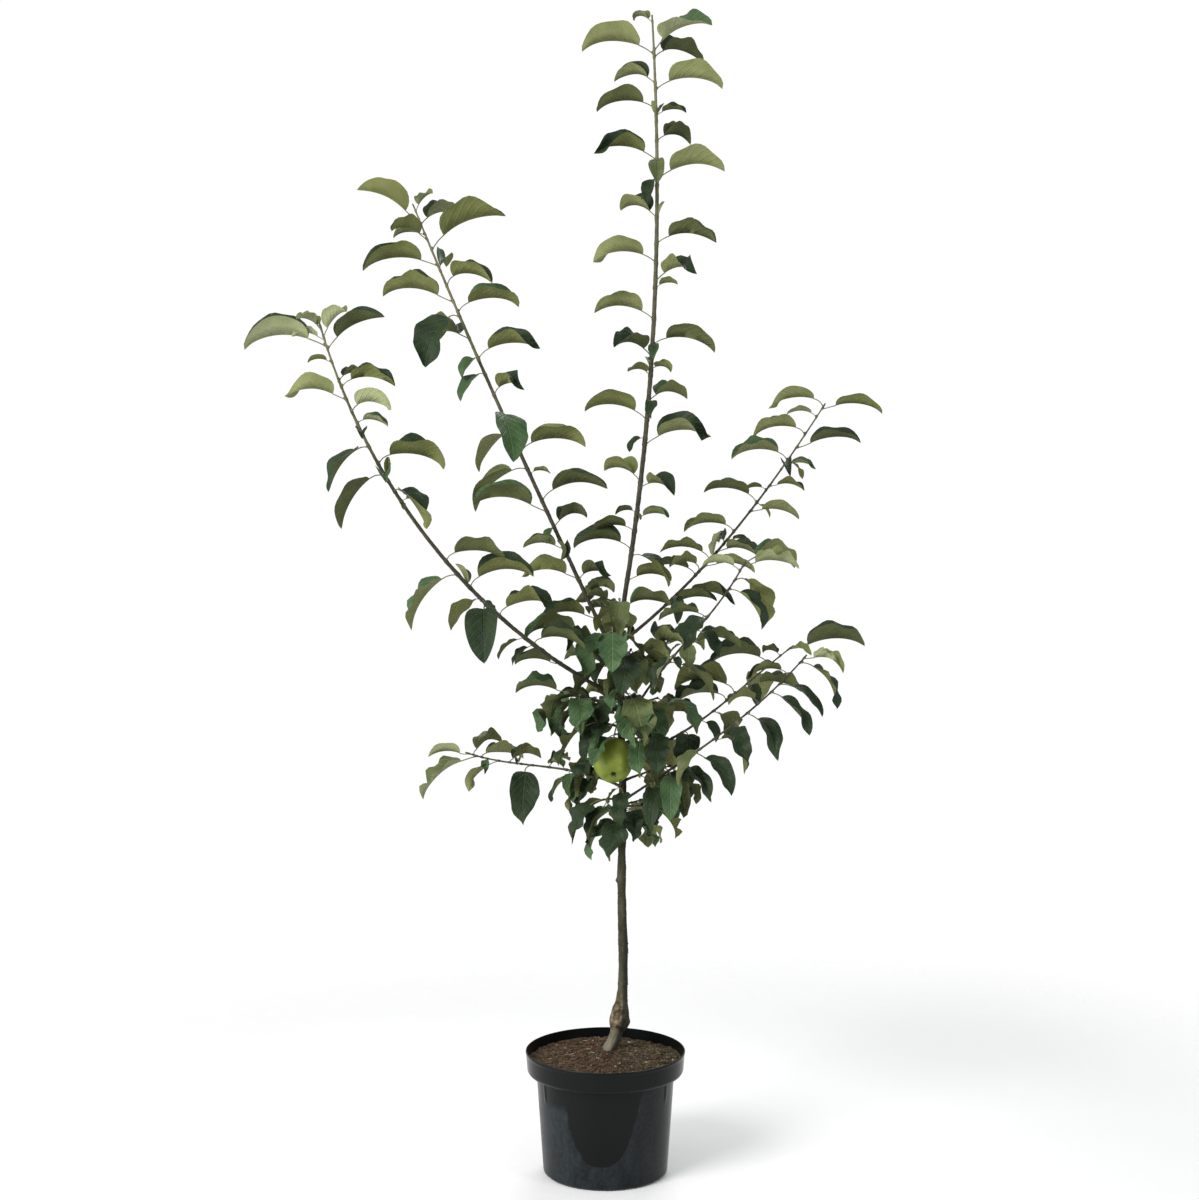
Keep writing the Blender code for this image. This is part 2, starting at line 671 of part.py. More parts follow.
def make_pot():
    """The container: a turned shell, notched at its foot and drilled for drainage."""
    pot = turned("pot", pot_profile(), POT_STEPS, black_plastic)
    for i in range(NOTCH_COUNT):
        heading = NOTCH_TURN - 90 + 360 * i / NOTCH_COUNT
        place = direction(heading, 0) * BODY_FOOT_RADIUS
        place.z = NOTCH_RISE - NOTCH_RADIUS
        holes.append(rod_cutter(f"notch_cutter_{i}", NOTCH_RADIUS, 0.018, place, heading))
    for i in range(DRAIN_COUNT):
        place = direction(360 * i / DRAIN_COUNT, 0) * DRAIN_CIRCLE
        holes.append(rod_cutter(f"drain_cutter_{i}", DRAIN_RADIUS, 0.02, place))
    for i, hole in enumerate(holes):
        boolean = pot.modifiers.new(f"hole_{i}", "BOOLEAN")
        boolean.operation = "DIFFERENCE"
        boolean.solver = "EXACT"
        boolean.object = hole
    return pot


def make_soil():
    """The soil that fills the container, a gap clear of its wall."""
    shoulder = POT_HEIGHT - RIM_DEPTH
    inside = WALL + GAP
    lean = (BODY_TOP_RADIUS - BODY_FOOT_RADIUS) / shoulder
    foot = BODY_FOOT_RADIUS - inside + lean * FLOOR
    rim_lean = (RIM_RADIUS - RIM_FOOT_RADIUS) / (RIM_DEPTH - 2 * WALL)
    edge = RIM_FOOT_RADIUS - inside + rim_lean * (SOIL_EDGE - shoulder - 2 * WALL)
    profile = [
        (0.0, SOIL_TOP),
        (SOIL_LEVEL_RADIUS, SOIL_TOP),
        ((SOIL_LEVEL_RADIUS + edge) / 2, (SOIL_TOP + SOIL_EDGE) / 2 + 0.001),
        (edge, SOIL_EDGE),
        (RIM_FOOT_RADIUS - inside, shoulder + 2 * WALL + GAP),
        (RIM_FOOT_RADIUS - WALL - inside, shoulder + WALL + 2 * GAP),
        (BODY_TOP_RADIUS - inside, shoulder + 2 * GAP),
        (foot, FLOOR + FOOT_CHAMFER),
        (foot - FOOT_CHAMFER, FLOOR + GAP),
        (0.0, FLOOR + GAP),
    ]
    return turned("soil", profile, POT_STEPS, earth)


clear_scene()
tree = bpy.data.collections.new("potted_apple_tree")
cutters = bpy.data.collections.new("cutters")
for group in (tree, cutters):
    bpy.context.scene.collection.children.link(group)
placed = []
holes = []

black_plastic = material("pot_plastic", (0.012, 0.014, 0.016), 0.35)
earth = material("soil", (0.075, 0.045, 0.030), 0.95)
bark = material("bark", (0.105, 0.088, 0.062), 0.80)
leaf_green = material("foliage", (0.085, 0.130, 0.045), 0.55)
apple_green = material("apple_skin", (0.42, 0.50, 0.10), 0.40)

make_pot()
make_soil()
trunk, trunk_cutter = make_trunk()

masses = []
for bough in BOUGHS:
    path = bough_path(bough)
    (limb_points, limb_radii), (stem_points, stem_radii) = split_bough(bough, path)
    if bough.name == "leader":
        limb_points[0] = limb_points[0] + (limb_points[1] - limb_points[0]).normalized() * GAP
    limb = tube(f"bough_{bough.name}", limb_points, limb_radii, bark, 2)
    remember_object("limb", limb)
    if bough.name != "leader":
        cut(limb, trunk_cutter)
    name = f"shoot_{bough.name}"
    stem = tube(name, stem_points, stem_radii, leaf_green, 0)
    remember_object(name, stem)
    masses.append((name, stem, new_pieces(name), written_leaves(bough, path)))

for spur in SPURS:
    name = f"spur_{spur.name}"
    path, stem = spur_stem(name, spur)
    pieces = new_pieces(name)
    if spur.name == "fruit":
        fruit_on(name, path, pieces)
    leaves = written_leaves(spur, path) if spur.leaves else seeded_leaves(spur, path)
    masses.append((name, stem, pieces, leaves))

for name, stem, pieces, leaves in masses:
    for leaf in leaves:
        place_leaf(name, leaf, pieces)
    fuse(stem, pieces)
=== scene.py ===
import math
import random
import re
from collections import namedtuple

import bpy
import numpy as np
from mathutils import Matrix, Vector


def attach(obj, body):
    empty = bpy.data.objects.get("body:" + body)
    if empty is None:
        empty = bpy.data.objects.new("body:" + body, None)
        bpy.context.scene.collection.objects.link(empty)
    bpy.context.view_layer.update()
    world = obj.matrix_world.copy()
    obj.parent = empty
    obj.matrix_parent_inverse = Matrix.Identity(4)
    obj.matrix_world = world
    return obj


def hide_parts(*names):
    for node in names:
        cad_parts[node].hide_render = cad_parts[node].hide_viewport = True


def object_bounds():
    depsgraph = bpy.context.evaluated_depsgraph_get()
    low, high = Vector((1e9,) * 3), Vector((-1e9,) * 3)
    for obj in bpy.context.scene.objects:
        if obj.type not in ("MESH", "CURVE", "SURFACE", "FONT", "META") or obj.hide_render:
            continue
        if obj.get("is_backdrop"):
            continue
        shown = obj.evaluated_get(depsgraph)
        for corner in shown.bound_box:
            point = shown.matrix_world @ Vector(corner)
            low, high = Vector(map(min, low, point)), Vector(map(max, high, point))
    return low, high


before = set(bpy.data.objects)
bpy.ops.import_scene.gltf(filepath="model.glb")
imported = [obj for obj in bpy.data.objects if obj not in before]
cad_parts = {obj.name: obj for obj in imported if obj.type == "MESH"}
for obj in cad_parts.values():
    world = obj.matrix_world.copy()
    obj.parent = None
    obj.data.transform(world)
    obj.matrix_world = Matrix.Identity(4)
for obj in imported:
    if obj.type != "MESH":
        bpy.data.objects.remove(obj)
solid_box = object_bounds()


# Camera: a short telephoto a little above the middle of the tree, tipped down slightly,
# as the photograph was taken. The upright view takes in the whole tree and its pot.
EYE = (-0.0096, -3.7, 1.31)
AIM_HEIGHT = 0.940
LENS = 69.717
camera_settings = bpy.data.cameras.new("camera")
camera_settings.sensor_fit = "VERTICAL"
camera_settings.sensor_height = 36
camera_settings.lens = LENS
camera = bpy.data.objects.new("camera", camera_settings)
camera.location = EYE
camera.rotation_euler = (math.pi / 2 - math.atan2(EYE[2] - AIM_HEIGHT, -EYE[1]), 0, 0)
bpy.context.scene.collection.objects.link(camera)
bpy.context.scene.camera = camera
bpy.context.scene.view_settings.view_transform = "Standard"


# Studio: a pale painted floor that fades out, in a pale surround, and four soft lamps: a
# large one to the front left, weaker ones to the right and behind, and a low one by the pot.
FLOOR_REACH = 14.0
FLOOR_RINGS = 40
FLOOR_SIDES = 96
FLOOR_DEPTH = 0.02
FLOOR_CLEAR, FLOOR_FULL = 1.9, 0.55


class Signal:
    """An output socket of a material's nodes. Sums, products and powers of signals and
    numbers add Math nodes, and node() adds any other node of the same material."""

    def __init__(self, socket):
        self.socket = socket

    def node(self, kind, settings, values, output=0):
        """A new node: its type, its settings, then what its sockets hold or are fed by."""
        tree = self.socket.id_data
        made = tree.nodes.new("ShaderNode" + kind)
        for key, value in settings.items():
            if key == "stops":
                ramp = made.color_ramp
                while len(ramp.elements) < len(value):
                    ramp.elements.new(1.0)
                for element, (place, colour) in zip(ramp.elements, value):
                    element.position = place
                    element.color = (*colour, 1.0)
            else:
                setattr(made, key, value)
        for key, value in values.items():
            if isinstance(value, Signal):
                tree.links.new(value.socket, made.inputs[key])
            else:
                made.inputs[key].default_value = value
        return Signal(made.outputs[output])

    def maths(self, operation, first, second):
        return self.node("Math", {"operation": operation}, {0: first, 1: second})

    def __add__(self, other):
        return self.maths("ADD", self, other)

    def __sub__(self, other):
        return self.maths("SUBTRACT", self, other)

    def __mul__(self, other):
        return self.maths("MULTIPLY", self, other)

    def __truediv__(self, other):
        return self.maths("DIVIDE", self, other)

    def __pow__(self, other):
        return self.maths("POWER", self, other)

    def __radd__(self, other):
        return self.maths("ADD", other, self)

    def __rsub__(self, other):
        return self.maths("SUBTRACT", other, self)

    def __rmul__(self, other):
        return self.maths("MULTIPLY", other, self)

    def band(self, low, high):
        """0 below low, 1 above high and smooth between, whichever way round they are."""
        settings = {"interpolation_type": "SMOOTHSTEP"}
        return self.node("MapRange", settings, {0: self, 1: low, 2: high, 3: 0.0, 4: 1.0})

    def noise(self, scale, detail=3.0, rough=0.5):
        """Cloudy noise of 0 to 1 at this place."""
        values = {"Vector": self, "Scale": scale, "Detail": detail, "Roughness": rough}
        return self.node("TexNoise", {}, values)

    def moved(self, place, scale=(1, 1, 1), turn=(0, 0, 0)):
        """This place measured from another centre, stretched and turned."""
        values = {"Location": place, "Scale": scale, "Rotation": turn}
        return self.node("Mapping", {"vector_type": "TEXTURE"}, {"Vector": self, **values})

    def ramp(self, *stops):
        """A colour picked by this value from (place, colour) stops."""
        return self.node("ValToRGB", {"stops": stops}, {"Fac": self})

    def mixed(self, first, second):
        """Colour first where this value is 0 and second where it is 1."""
        first, second = (c if isinstance(c, Signal) else (*c, 1.0) for c in (first, second))
        return self.node("Mix", {"data_type": "RGBA"}, {0: self, 6: first, 7: second}, 2)

    def axis(self, name):
        """One coordinate of this place."""
        return self.node("SeparateXYZ", {}, {0: self}, "XYZ".index(name))

    def distance(self):
        """How far this place is from its centre."""
        return self.node("VectorMath", {"operation": "LENGTH"}, {0: self}, "Value")


class Finish:
    """A material: its shader's constants are given at once, and its patterns are fed later."""

    def __init__(self, name, **constants):
        self.material = bpy.data.materials.new(name)
        self.material.use_nodes = True
        nodes = self.material.node_tree.nodes
        self.shader = nodes["Principled BSDF"]
        for key, value in constants.items():
            socket = key.replace("_", " ").title().replace("Ior", "IOR")
            self.shader.inputs[socket].default_value = value
        places = nodes.new("ShaderNodeTexCoord")
        self.place = Signal(places.outputs["Object"])
        self.chart = Signal(places.outputs["UV"])

    def feed(self, relief, depth, **signals):
        """Feeds in a relief with its depth in metres, and signals named after their sockets."""
        tree = self.material.node_tree
        bump = relief.node("Bump", {}, {"Strength": 1.0, "Distance": depth, "Height": relief})
        tree.links.new(bump.socket, self.shader.inputs["Normal"])
        for key, signal in signals.items():
            tree.links.new(signal.socket, self.shader.inputs[key.replace("_", " ").title()])
        return self.material


def new_piece(name, points, faces, finishes, picked=None, chart=None, crease=180.0):
    """A mesh object at the origin from an array of points and a list of faces. picked is
    each face's finish, chart each point's place on the piece's own UV map, and edges that
    turn by more than crease degrees stay sharp."""
    mesh = bpy.data.meshes.new(name)
    mesh.from_pydata(points, [], faces)
    for finish in finishes:
        mesh.materials.append(finish)
    if picked is not None:
        mesh.polygons.foreach_set("material_index", np.asarray(picked, np.int32))
    if chart is not None:
        corners = np.empty(len(mesh.loops), np.int32)
        mesh.loops.foreach_get("vertex_index", corners)
        layer = mesh.uv_layers.new(name="chart")
        layer.uv.foreach_set("vector", chart[corners].astype(np.float32).ravel())
    mesh.polygons.foreach_set("use_smooth", np.ones(len(mesh.polygons), bool))
    mesh.set_sharp_from_angle(angle=math.radians(crease))
    made = bpy.data.objects.new(name, mesh)
    bpy.context.scene.collection.objects.link(made)
    return made


def closed_tubes(rings):
    """Tubes from an array of (tube, ring, side, xyz) points: quads between the rings and a
    fan to the middle of each end. Rings turn anticlockwise seen from ahead, so that the
    faces point outwards. Returns the points and the faces."""
    tubes, count, sides, _ = rings.shape
    poles = rings[:, [0, -1]].mean(axis=2)
    points = np.concatenate([rings.reshape(tubes, -1, 3), poles], axis=1)
    start = np.arange(tubes)[:, None, None] * (count * sides + 2)
    ring, side = np.meshgrid(np.arange(count - 1), np.arange(sides), indexing="ij")
    here, beside = ring * sides + side, ring * sides + (side + 1) % sides
    quads = np.stack([here, beside, beside + sides, here + sides], -1).reshape(1, -1, 4)
    side = np.arange(sides)
    after = (side + 1) % sides
    last = (count - 1) * sides
    foot = np.stack([after, side, np.full(sides, count * sides)], -1)
    tip = np.stack([last + side, last + after, np.full(sides, count * sides + 1)], -1)
    fans = np.concatenate([foot, tip])[None]
    faces = (quads + start).reshape(-1, 4).tolist() + (fans + start).reshape(-1, 3).tolist()
    return points.reshape(-1, 3), faces


def lathe(profile, sides, lift=None):
    """One ring for each (radius, height) of a profile, turned round Z. lift, if given,
    works out new heights from the grids of x, y and z."""
    angle = np.linspace(0, 2 * np.pi, sides, endpoint=False)
    x = profile[:, :1] * np.cos(angle)
    y = profile[:, :1] * np.sin(angle)
    z = np.broadcast_to(profile[:, 1:], x.shape)
    if lift is not None:
        z = lift(x, y, z)
    return np.stack([x, y, z], -1)[None]


painted = Finish("floor_paint", roughness=0.7, specular_ior_level=0.2)
cloud = painted.place.noise(1.5)
floor_paint = painted.feed(
    base_color=cloud.ramp((0.3, (0.86, 0.86, 0.855)), (0.7, (0.89, 0.89, 0.885))),
    alpha=painted.place.distance().band(FLOOR_CLEAR, FLOOR_FULL),
    relief=painted.place.noise(60.0, 4.0),
    depth=0.0004,
)
reach = FLOOR_REACH * np.linspace(1.0, 0.02, FLOOR_RINGS) ** 2
under = np.stack([[reach[-1], reach[0]], [-FLOOR_DEPTH, -FLOOR_DEPTH]], -1)
floor_profile = np.concatenate([under, np.stack([reach, np.zeros(FLOOR_RINGS)], -1)])
floor_rings = lathe(floor_profile, FLOOR_SIDES)
floor = new_piece("floor", *closed_tubes(floor_rings), [floor_paint], crease=30)
floor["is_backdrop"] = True


def soft_lamp(name, place, target, width, height, power, colour):
    """A rectangular soft lamp at a place, facing a target."""
    settings = bpy.data.lights.new(name, "AREA")
    settings.shape = "RECTANGLE"
    settings.size = width
    settings.size_y = height
    settings.energy = power
    settings.color = colour
    lamp = bpy.data.objects.new(name, settings)
    away = np.array(place) - np.array(target)
    level = math.hypot(away[0], away[1])
    lamp.location = place
    lamp.rotation_euler = (math.atan2(level, away[2]), 0, math.atan2(away[0], -away[1]))
    bpy.context.scene.collection.objects.link(lamp)


soft_lamp("lamp_left", (-2.6, -2.8, 2.9), (0, 0, 0.9), 1.8, 2.4, 165, (1.0, 0.99, 0.97))
soft_lamp("lamp_right", (3.0, -2.2, 1.6), (0, 0, 0.8), 1.2, 2.0, 42, (0.95, 0.98, 1.0))
soft_lamp("lamp_back", (0.6, 2.8, 3.4), (0, 0, 1.1), 2.0, 1.6, 60, (1.0, 1.0, 1.0))
soft_lamp("lamp_low", (-2.3, -1.1, 0.7), (0, 0, 0.3), 2.2, 1.3, 26, (0.95, 0.98, 1.0))

# The surround is white to the camera and lights the tree at about half that strength
surround = bpy.data.worlds.new("surround")
surround.use_nodes = True
nodes, links = surround.node_tree.nodes, surround.node_tree.links
pale = nodes["Background"]
pale.inputs["Color"].default_value = (1.0, 1.0, 1.0, 1.0)
pale.inputs["Strength"].default_value = 1.02
dim = nodes.new("ShaderNodeBackground")
dim.inputs["Color"].default_value = (0.97, 0.985, 1.0, 1.0)
dim.inputs["Strength"].default_value = 0.55
seen = nodes.new("ShaderNodeLightPath")
either = nodes.new("ShaderNodeMixShader")
links.new(seen.outputs["Is Camera Ray"], either.inputs[0])
links.new(dim.outputs[0], either.inputs[1])
links.new(pale.outputs[0], either.inputs[2])
links.new(either.outputs[0], nodes["World Output"].inputs["Surface"])
bpy.context.scene.world = surround


# Pot: a 7.5 litre nursery container, moulded in thin black plastic, with a stepped rim
# band, four arched notches at the foot, stacking ribs and drain holes in its floor. A dried
# Its colour carries painted reflections: a pale bluish one of the floor over the body, lighter to
# the left, and a dark one in front, a tongue that widens with height.
RIM_RADIUS = 0.130
RIM_FOOT_RADIUS = 0.1275
BODY_TOP_RADIUS = 0.1125
BODY_FOOT_RADIUS = 0.1012
POT_HEIGHT = 0.203
RIM_DEPTH = 0.034
SHOULDER = POT_HEIGHT - RIM_DEPTH
WALL = 0.0018
POT_FLOOR = 0.0025
POT_SIDES = 320
NOTCH_RADIUS = 0.013
NOTCH_RISE = 0.0045
NOTCH_TURN = 25
NOTCH_END = 0.0900
FOOT_CORNER = 0.004
DRAIN_RADIUS = 0.005
DRAIN_CIRCLE = 0.058
DRAINS = 6
RIB_HEADINGS = (-151, -29, 29, 151)
RIB_PROUD = 0.0012
RIB_RADIUS = 0.11
RIB_HALF_WIDTH = 0.0042
RIB_FOOT = 0.128
SHARP_TURN = 42


def smooth(share):
    """0 below 0, 1 above 1, and an even S between: 3 s^2 - 2 s^3."""
    share = np.clip(share, 0.0, 1.0)
    return share * share * (3 - 2 * share)


def eased(corners, radius, steps=5):
    """A profile with its corners rounded: each inner corner becomes a parabola that starts
    and ends a radius away from it along its two sides, or half a side where that is less."""
    corners = np.array(corners, float)
    before = corners[:-2] - corners[1:-1]
    after = corners[2:] - corners[1:-1]
    reach = []
    for side in (before, after):
        length = np.linalg.norm(side, axis=1, keepdims=True)
        reach.append(side / length * np.minimum(radius, length * 0.45))
    t = np.linspace(0, 1, steps)[None, :, None]
    middle = corners[1:-1, None]
    arc = middle + (1 - t) ** 2 * reach[0][:, None] + t**2 * reach[1][:, None]
    return np.concatenate([corners[:1], arc.reshape(-1, 2), corners[-1:]])


def filled(profile, spacing):
    """A profile with extra points along its long sides, no further apart than spacing."""
    runs = []
    for start, end in zip(profile[:-1], profile[1:]):
        count = max(1, math.ceil(np.linalg.norm(end - start) / spacing))
        runs.append(start + (end - start) * np.linspace(0, 1, count, endpoint=False)[:, None])
    return np.concatenate(runs + [profile[-1:]])


def notched(x, y, z):
    """Heights with the foot notches pressed up: an arch of NOTCH_RADIUS across each of four
    headings, a wall higher on the inside, that fades out towards the middle of the floor."""
    radius, angle = np.hypot(x, y), np.arctan2(y, x)
    turned = angle - math.radians(NOTCH_TURN - 90)
    across = radius * np.sin((turned + np.pi / 4) % (np.pi / 2) - np.pi / 4)
    inside = (np.arange(z.shape[0]) > OUTSIDE_RINGS)[:, None]
    arch = NOTCH_RADIUS + WALL * inside
    rise = NOTCH_RISE - NOTCH_RADIUS + np.sqrt(np.clip(arch**2 - across**2, 0, None))
    rise = rise * smooth((radius - NOTCH_END + 0.0015 * inside) / 0.0025)
    return np.where(z < 0.02, np.maximum(z, rise), z)


lean = (BODY_TOP_RADIUS - BODY_FOOT_RADIUS) / SHOULDER
outside = eased(
    [
        (0.004, 0.0),
        (BODY_FOOT_RADIUS - FOOT_CORNER, 0.0),
        (BODY_FOOT_RADIUS + lean * FOOT_CORNER, FOOT_CORNER),
        (BODY_TOP_RADIUS, SHOULDER - 0.0018),
        (RIM_FOOT_RADIUS - 0.0022, SHOULDER - 0.0012),
        (RIM_FOOT_RADIUS, SHOULDER + 0.0028),
        (RIM_RADIUS - 0.0007, POT_HEIGHT - 0.0052),
        (RIM_RADIUS, POT_HEIGHT - 0.0040),
        (RIM_RADIUS, POT_HEIGHT),
        (RIM_RADIUS - WALL, POT_HEIGHT),
    ],
    0.0014,
)
inside = eased(
    [
        (RIM_RADIUS - WALL, POT_HEIGHT - 0.0006),
        (RIM_FOOT_RADIUS - WALL, SHOULDER + 2 * WALL),
        (RIM_FOOT_RADIUS - 2 * WALL, SHOULDER + WALL),
        (BODY_TOP_RADIUS - WALL, SHOULDER),
        (BODY_FOOT_RADIUS - WALL + lean * POT_FLOOR, POT_FLOOR + FOOT_CORNER),
        (BODY_FOOT_RADIUS - WALL + lean * POT_FLOOR - FOOT_CORNER, POT_FLOOR),
        (0.004, POT_FLOOR),
    ],
    0.0010,
)
outside = filled(outside, 0.006)
OUTSIDE_RINGS = len(outside)
pot_rings = lathe(np.concatenate([outside, filled(inside, 0.008)]), POT_SIDES, notched)
x, y, z = np.moveaxis(pot_rings[0], -1, 0)
bearing = np.degrees(np.arctan2(y, x))
rib = np.zeros_like(x)
for heading in RIB_HEADINGS:
    away = np.abs((bearing - heading + 180) % 360 - 180) * math.radians(1) * RIB_RADIUS
    rib += smooth((RIB_HALF_WIDTH - away) / 0.0022)
rib *= smooth((z - RIB_FOOT) / 0.012) * smooth((SHOULDER - 0.004 - z) / 0.003)
rib[OUTSIDE_RINGS:] = 0
outwards = 1 + RIB_PROUD * rib / np.hypot(x, y)
pot_rings = np.stack([x * outwards, y * outwards, z], -1)[None]

plastic = Finish("black_plastic", specular_ior_level=0.13)
# Painted reflections: a pale bluish reflection of the floor is painted over the body below the rim
# band, lighter to the left and faint at the right edge. A painted dark reflection in front
# interrupts it, a tongue that widens with height. The same mask also makes the surface rougher
# there.
pot_cloud = plastic.place.noise(9.0, 5.0, 0.6)
pot_fine_cloud = plastic.place.moved((0, 0, 0), (1, 1, 2.5)).noise(38.0, 6.0, 0.65)
grazes = plastic.place.moved((0, 0, 0), (0.012, 0.012, 0.3)).noise(1.0, 2.0)
side, height = plastic.place.axis("X"), plastic.place.axis("Z")
climb = (height - 0.041) / 0.113
tongue = 0.064 * climb.maths("MAXIMUM", climb, 0.0) ** 0.34
beside = ((side + 0.006) * (side + 0.006)) ** 0.5 + (pot_fine_cloud - 0.5) * 0.016
dark_reflection = (tongue - beside).band(-0.0015, 0.0025) * plastic.place.axis("Y").band(0.01, -0.02)
edge = side.band(-0.050, -0.066) * 0.032
painted_reflection = (1.0 - dark_reflection) * (height + edge + (pot_cloud - 0.5) * 0.06).band(0.172, 0.150)
pot_tiny_cloud = plastic.place.noise(150.0, 4.0, 0.6)
painted_reflection = painted_reflection * (0.45 + pot_fine_cloud.band(0.36, 0.64) * 0.55) * (0.55 + pot_tiny_cloud.band(0.36, 0.60) * 0.45)
painted_reflection = painted_reflection * (0.66 + side.band(0.02, -0.06) * 0.28) * (0.2 + side.band(0.094, 0.066) * 0.8)
pot_plastic = plastic.feed(
    base_color=painted_reflection.mixed((0.0042, 0.0048, 0.0048), (0.0200, 0.0262, 0.0295)),
    roughness=0.17 + pot_cloud * 0.10 + painted_reflection * 0.22 + grazes.band(0.6, 0.8) * 0.07,
    relief=pot_cloud * 0.8 + pot_fine_cloud * 0.12,
    depth=0.0007,
)
pot = new_piece("pot_shell", *closed_tubes(pot_rings), [pot_plastic], crease=SHARP_TURN)
turn = 2 * np.pi * np.arange(DRAINS) / DRAINS
drains = DRAIN_CIRCLE * np.stack([np.cos(turn), np.sin(turn), 0 * turn], -1)
rods = drains[:, None, None] + lathe(np.array([(DRAIN_RADIUS, -0.01), (DRAIN_RADIUS, 0.02)]), 24)
drill = new_piece("drill", *closed_tubes(rods), [pot_plastic])
drilled = pot.modifiers.new("drains", "BOOLEAN")
drilled.solver = "EXACT"
drilled.object = drill
bpy.context.view_layer.update()
graph = bpy.context.evaluated_depsgraph_get()
pot.data = bpy.data.meshes.new_from_object(pot.evaluated_get(graph))
pot.modifiers.clear()
bpy.data.objects.remove(drill)
pot.data.set_sharp_from_angle(angle=math.radians(SHARP_TURN))
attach(pot, "root")
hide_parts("pot")


# Soil: bark compost that has settled a little below the rim, loose and lumpy on top, with
# moss on its right side. It is one block, and chips and crumbs lie over it.
SOIL_TOP = 0.193
SOIL_EDGE = 0.187
SOIL_LEVEL_RADIUS = 0.055
SOIL_RADIUS = 0.126
SOIL_SIDES = 200
SOIL_RINGS = 58
CALM_SPOT = (0.008, 0.035)
CHIPS = 1900
BIG_CHIPS = 90
CRUMBS = 1500


def unit(vectors):
    """The same ways, each one long."""
    return vectors / np.linalg.norm(vectors, axis=-1, keepdims=True)


def ripple(points, wavelength, seed, waves=14):
    """Rough ground of height about -1 to 1: a sum of sine waves whose directions, phases
    and lengths, near the given one, come from a seed."""
    draw = np.random.default_rng(seed)
    way = unit(draw.normal(size=(waves, points.shape[-1])))
    way *= 2 * np.pi / (wavelength * draw.uniform(0.6, 1.7, (waves, 1)))
    phase = draw.uniform(0, 2 * np.pi, waves)
    return np.sin(points @ way.T + phase).sum(-1) / math.sqrt(waves)


def soil_height(x, y):
    """The ground: level in the middle, then falling to the wall, with lumps of three sizes
    that fade out round the trunk."""
    radius = np.hypot(x, y)
    fall = smooth((radius - SOIL_LEVEL_RADIUS) / (SOIL_RADIUS - SOIL_LEVEL_RADIUS))
    flat = np.stack([x, y], -1)
    lumps = 0.0012 * ripple(flat, 0.034, 1) + 0.0010 * ripple(flat, 0.013, 2)
    grains = 0.00075 * ripple(flat, 0.005, 3)
    away = np.hypot(x - CALM_SPOT[0], y - CALM_SPOT[1])
    calm = smooth((away - 0.004) / 0.02)
    return SOIL_TOP - (SOIL_TOP - SOIL_EDGE) * fall + (lumps + grains) * calm - 0.0005


top_radius = np.linspace(SOIL_RADIUS + 0.0002, 0.002, SOIL_RINGS)
wall_side = [
    (0.004, 0.0030),
    (0.0880, 0.0030),
    (0.0960, 0.0110),
    (BODY_TOP_RADIUS - WALL - 0.0005, SHOULDER - 0.001),
    (RIM_FOOT_RADIUS - 2 * WALL - 0.0008, SHOULDER + WALL + 0.0008),
    (RIM_FOOT_RADIUS - WALL - 0.0006, SHOULDER + 2 * WALL + 0.002),
]
top_side = np.stack([top_radius, np.full(SOIL_RINGS, SOIL_EDGE)], -1)
soil_rings = lathe(np.concatenate([wall_side, top_side]), SOIL_SIDES)
on_top = soil_rings[0, len(wall_side):]
on_top[..., 2] = soil_height(on_top[..., 0], on_top[..., 1])

compost = Finish("compost", roughness=0.95, specular_ior_level=0.1)
patches = compost.place.noise(22.0, 4.0, 0.6)
speckle = compost.place.noise(420.0, 3.0, 0.7)
# The compost is darker to the right and in patches.
darkening = compost.place.axis("X").band(-0.03, 0.06) * 0.55 + patches.band(0.4, 0.65) * 0.45
earth = darkening.mixed((0.074, 0.048, 0.029), (0.034, 0.028, 0.016))
soil_finish = compost.feed(
    base_color=speckle.band(0.45, 0.72).mixed(earth, (0.160, 0.116, 0.078)),
    relief=speckle,
    depth=0.0012,
)
soil = new_piece("soil_block", *closed_tubes(soil_rings), [soil_finish], crease=60)
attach(soil, "root")
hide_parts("soil")


def turned_at_random(shapes, draw, tilt):
    """Each of (n, points, xyz) shapes turned about Z by any angle, after a tilt about X of
    at most the given degrees."""
    count = len(shapes)
    spin = draw.uniform(0, 2 * np.pi, count)
    lean = np.radians(draw.uniform(-tilt, tilt, count))
    zero, one = np.zeros(count), np.ones(count)
    cs, sn, cl, sl = np.cos(spin), np.sin(spin), np.cos(lean), np.sin(lean)
    tip = np.stack([one, zero, zero, zero, cl, -sl, zero, sl, cl], -1).reshape(-1, 3, 3)
    round_z = np.stack([cs, -sn, zero, sn, cs, zero, zero, zero, one], -1).reshape(-1, 3, 3)
    return np.einsum("nij,nkj->nki", round_z @ tip, shapes)


def scattered(count, draw, radius=0.119, lift=0.0006):
    """Places spread evenly over the soil: the radius grows as the root of a share."""
    r = radius * np.sqrt(draw.uniform(0.0, 1.0, count))
    angle = draw.uniform(0, 2 * np.pi, count)
    x, y = r * np.cos(angle), r * np.sin(angle)
    return np.stack([x, y, soil_height(x, y) + lift], -1)


def chips(count, seed, length, width, depth, tilt):
    """Splinters: six-sided boxes with ends drawn in and corners pushed about, laid flat."""
    draw = np.random.default_rng(seed)
    corner = np.array([(x, y, z) for x in (-1, 1) for y in (-1, 1) for z in (-1, 1)], float)
    size = np.stack([draw.uniform(*side, count) for side in (length, width, depth)], -1)
    shape = corner * size[:, None] / 2
    shape *= draw.uniform(0.62, 1.1, (count, 8, 3))
    shape = turned_at_random(shape, draw, tilt) + scattered(count, draw)[:, None]
    box = [(0, 1, 3, 2), (4, 6, 7, 5), (0, 4, 5, 1), (2, 3, 7, 6), (0, 2, 6, 4), (1, 5, 7, 3)]
    faces = np.array(box) + np.arange(count)[:, None, None] * 8
    return shape, faces.reshape(-1, 4).tolist()


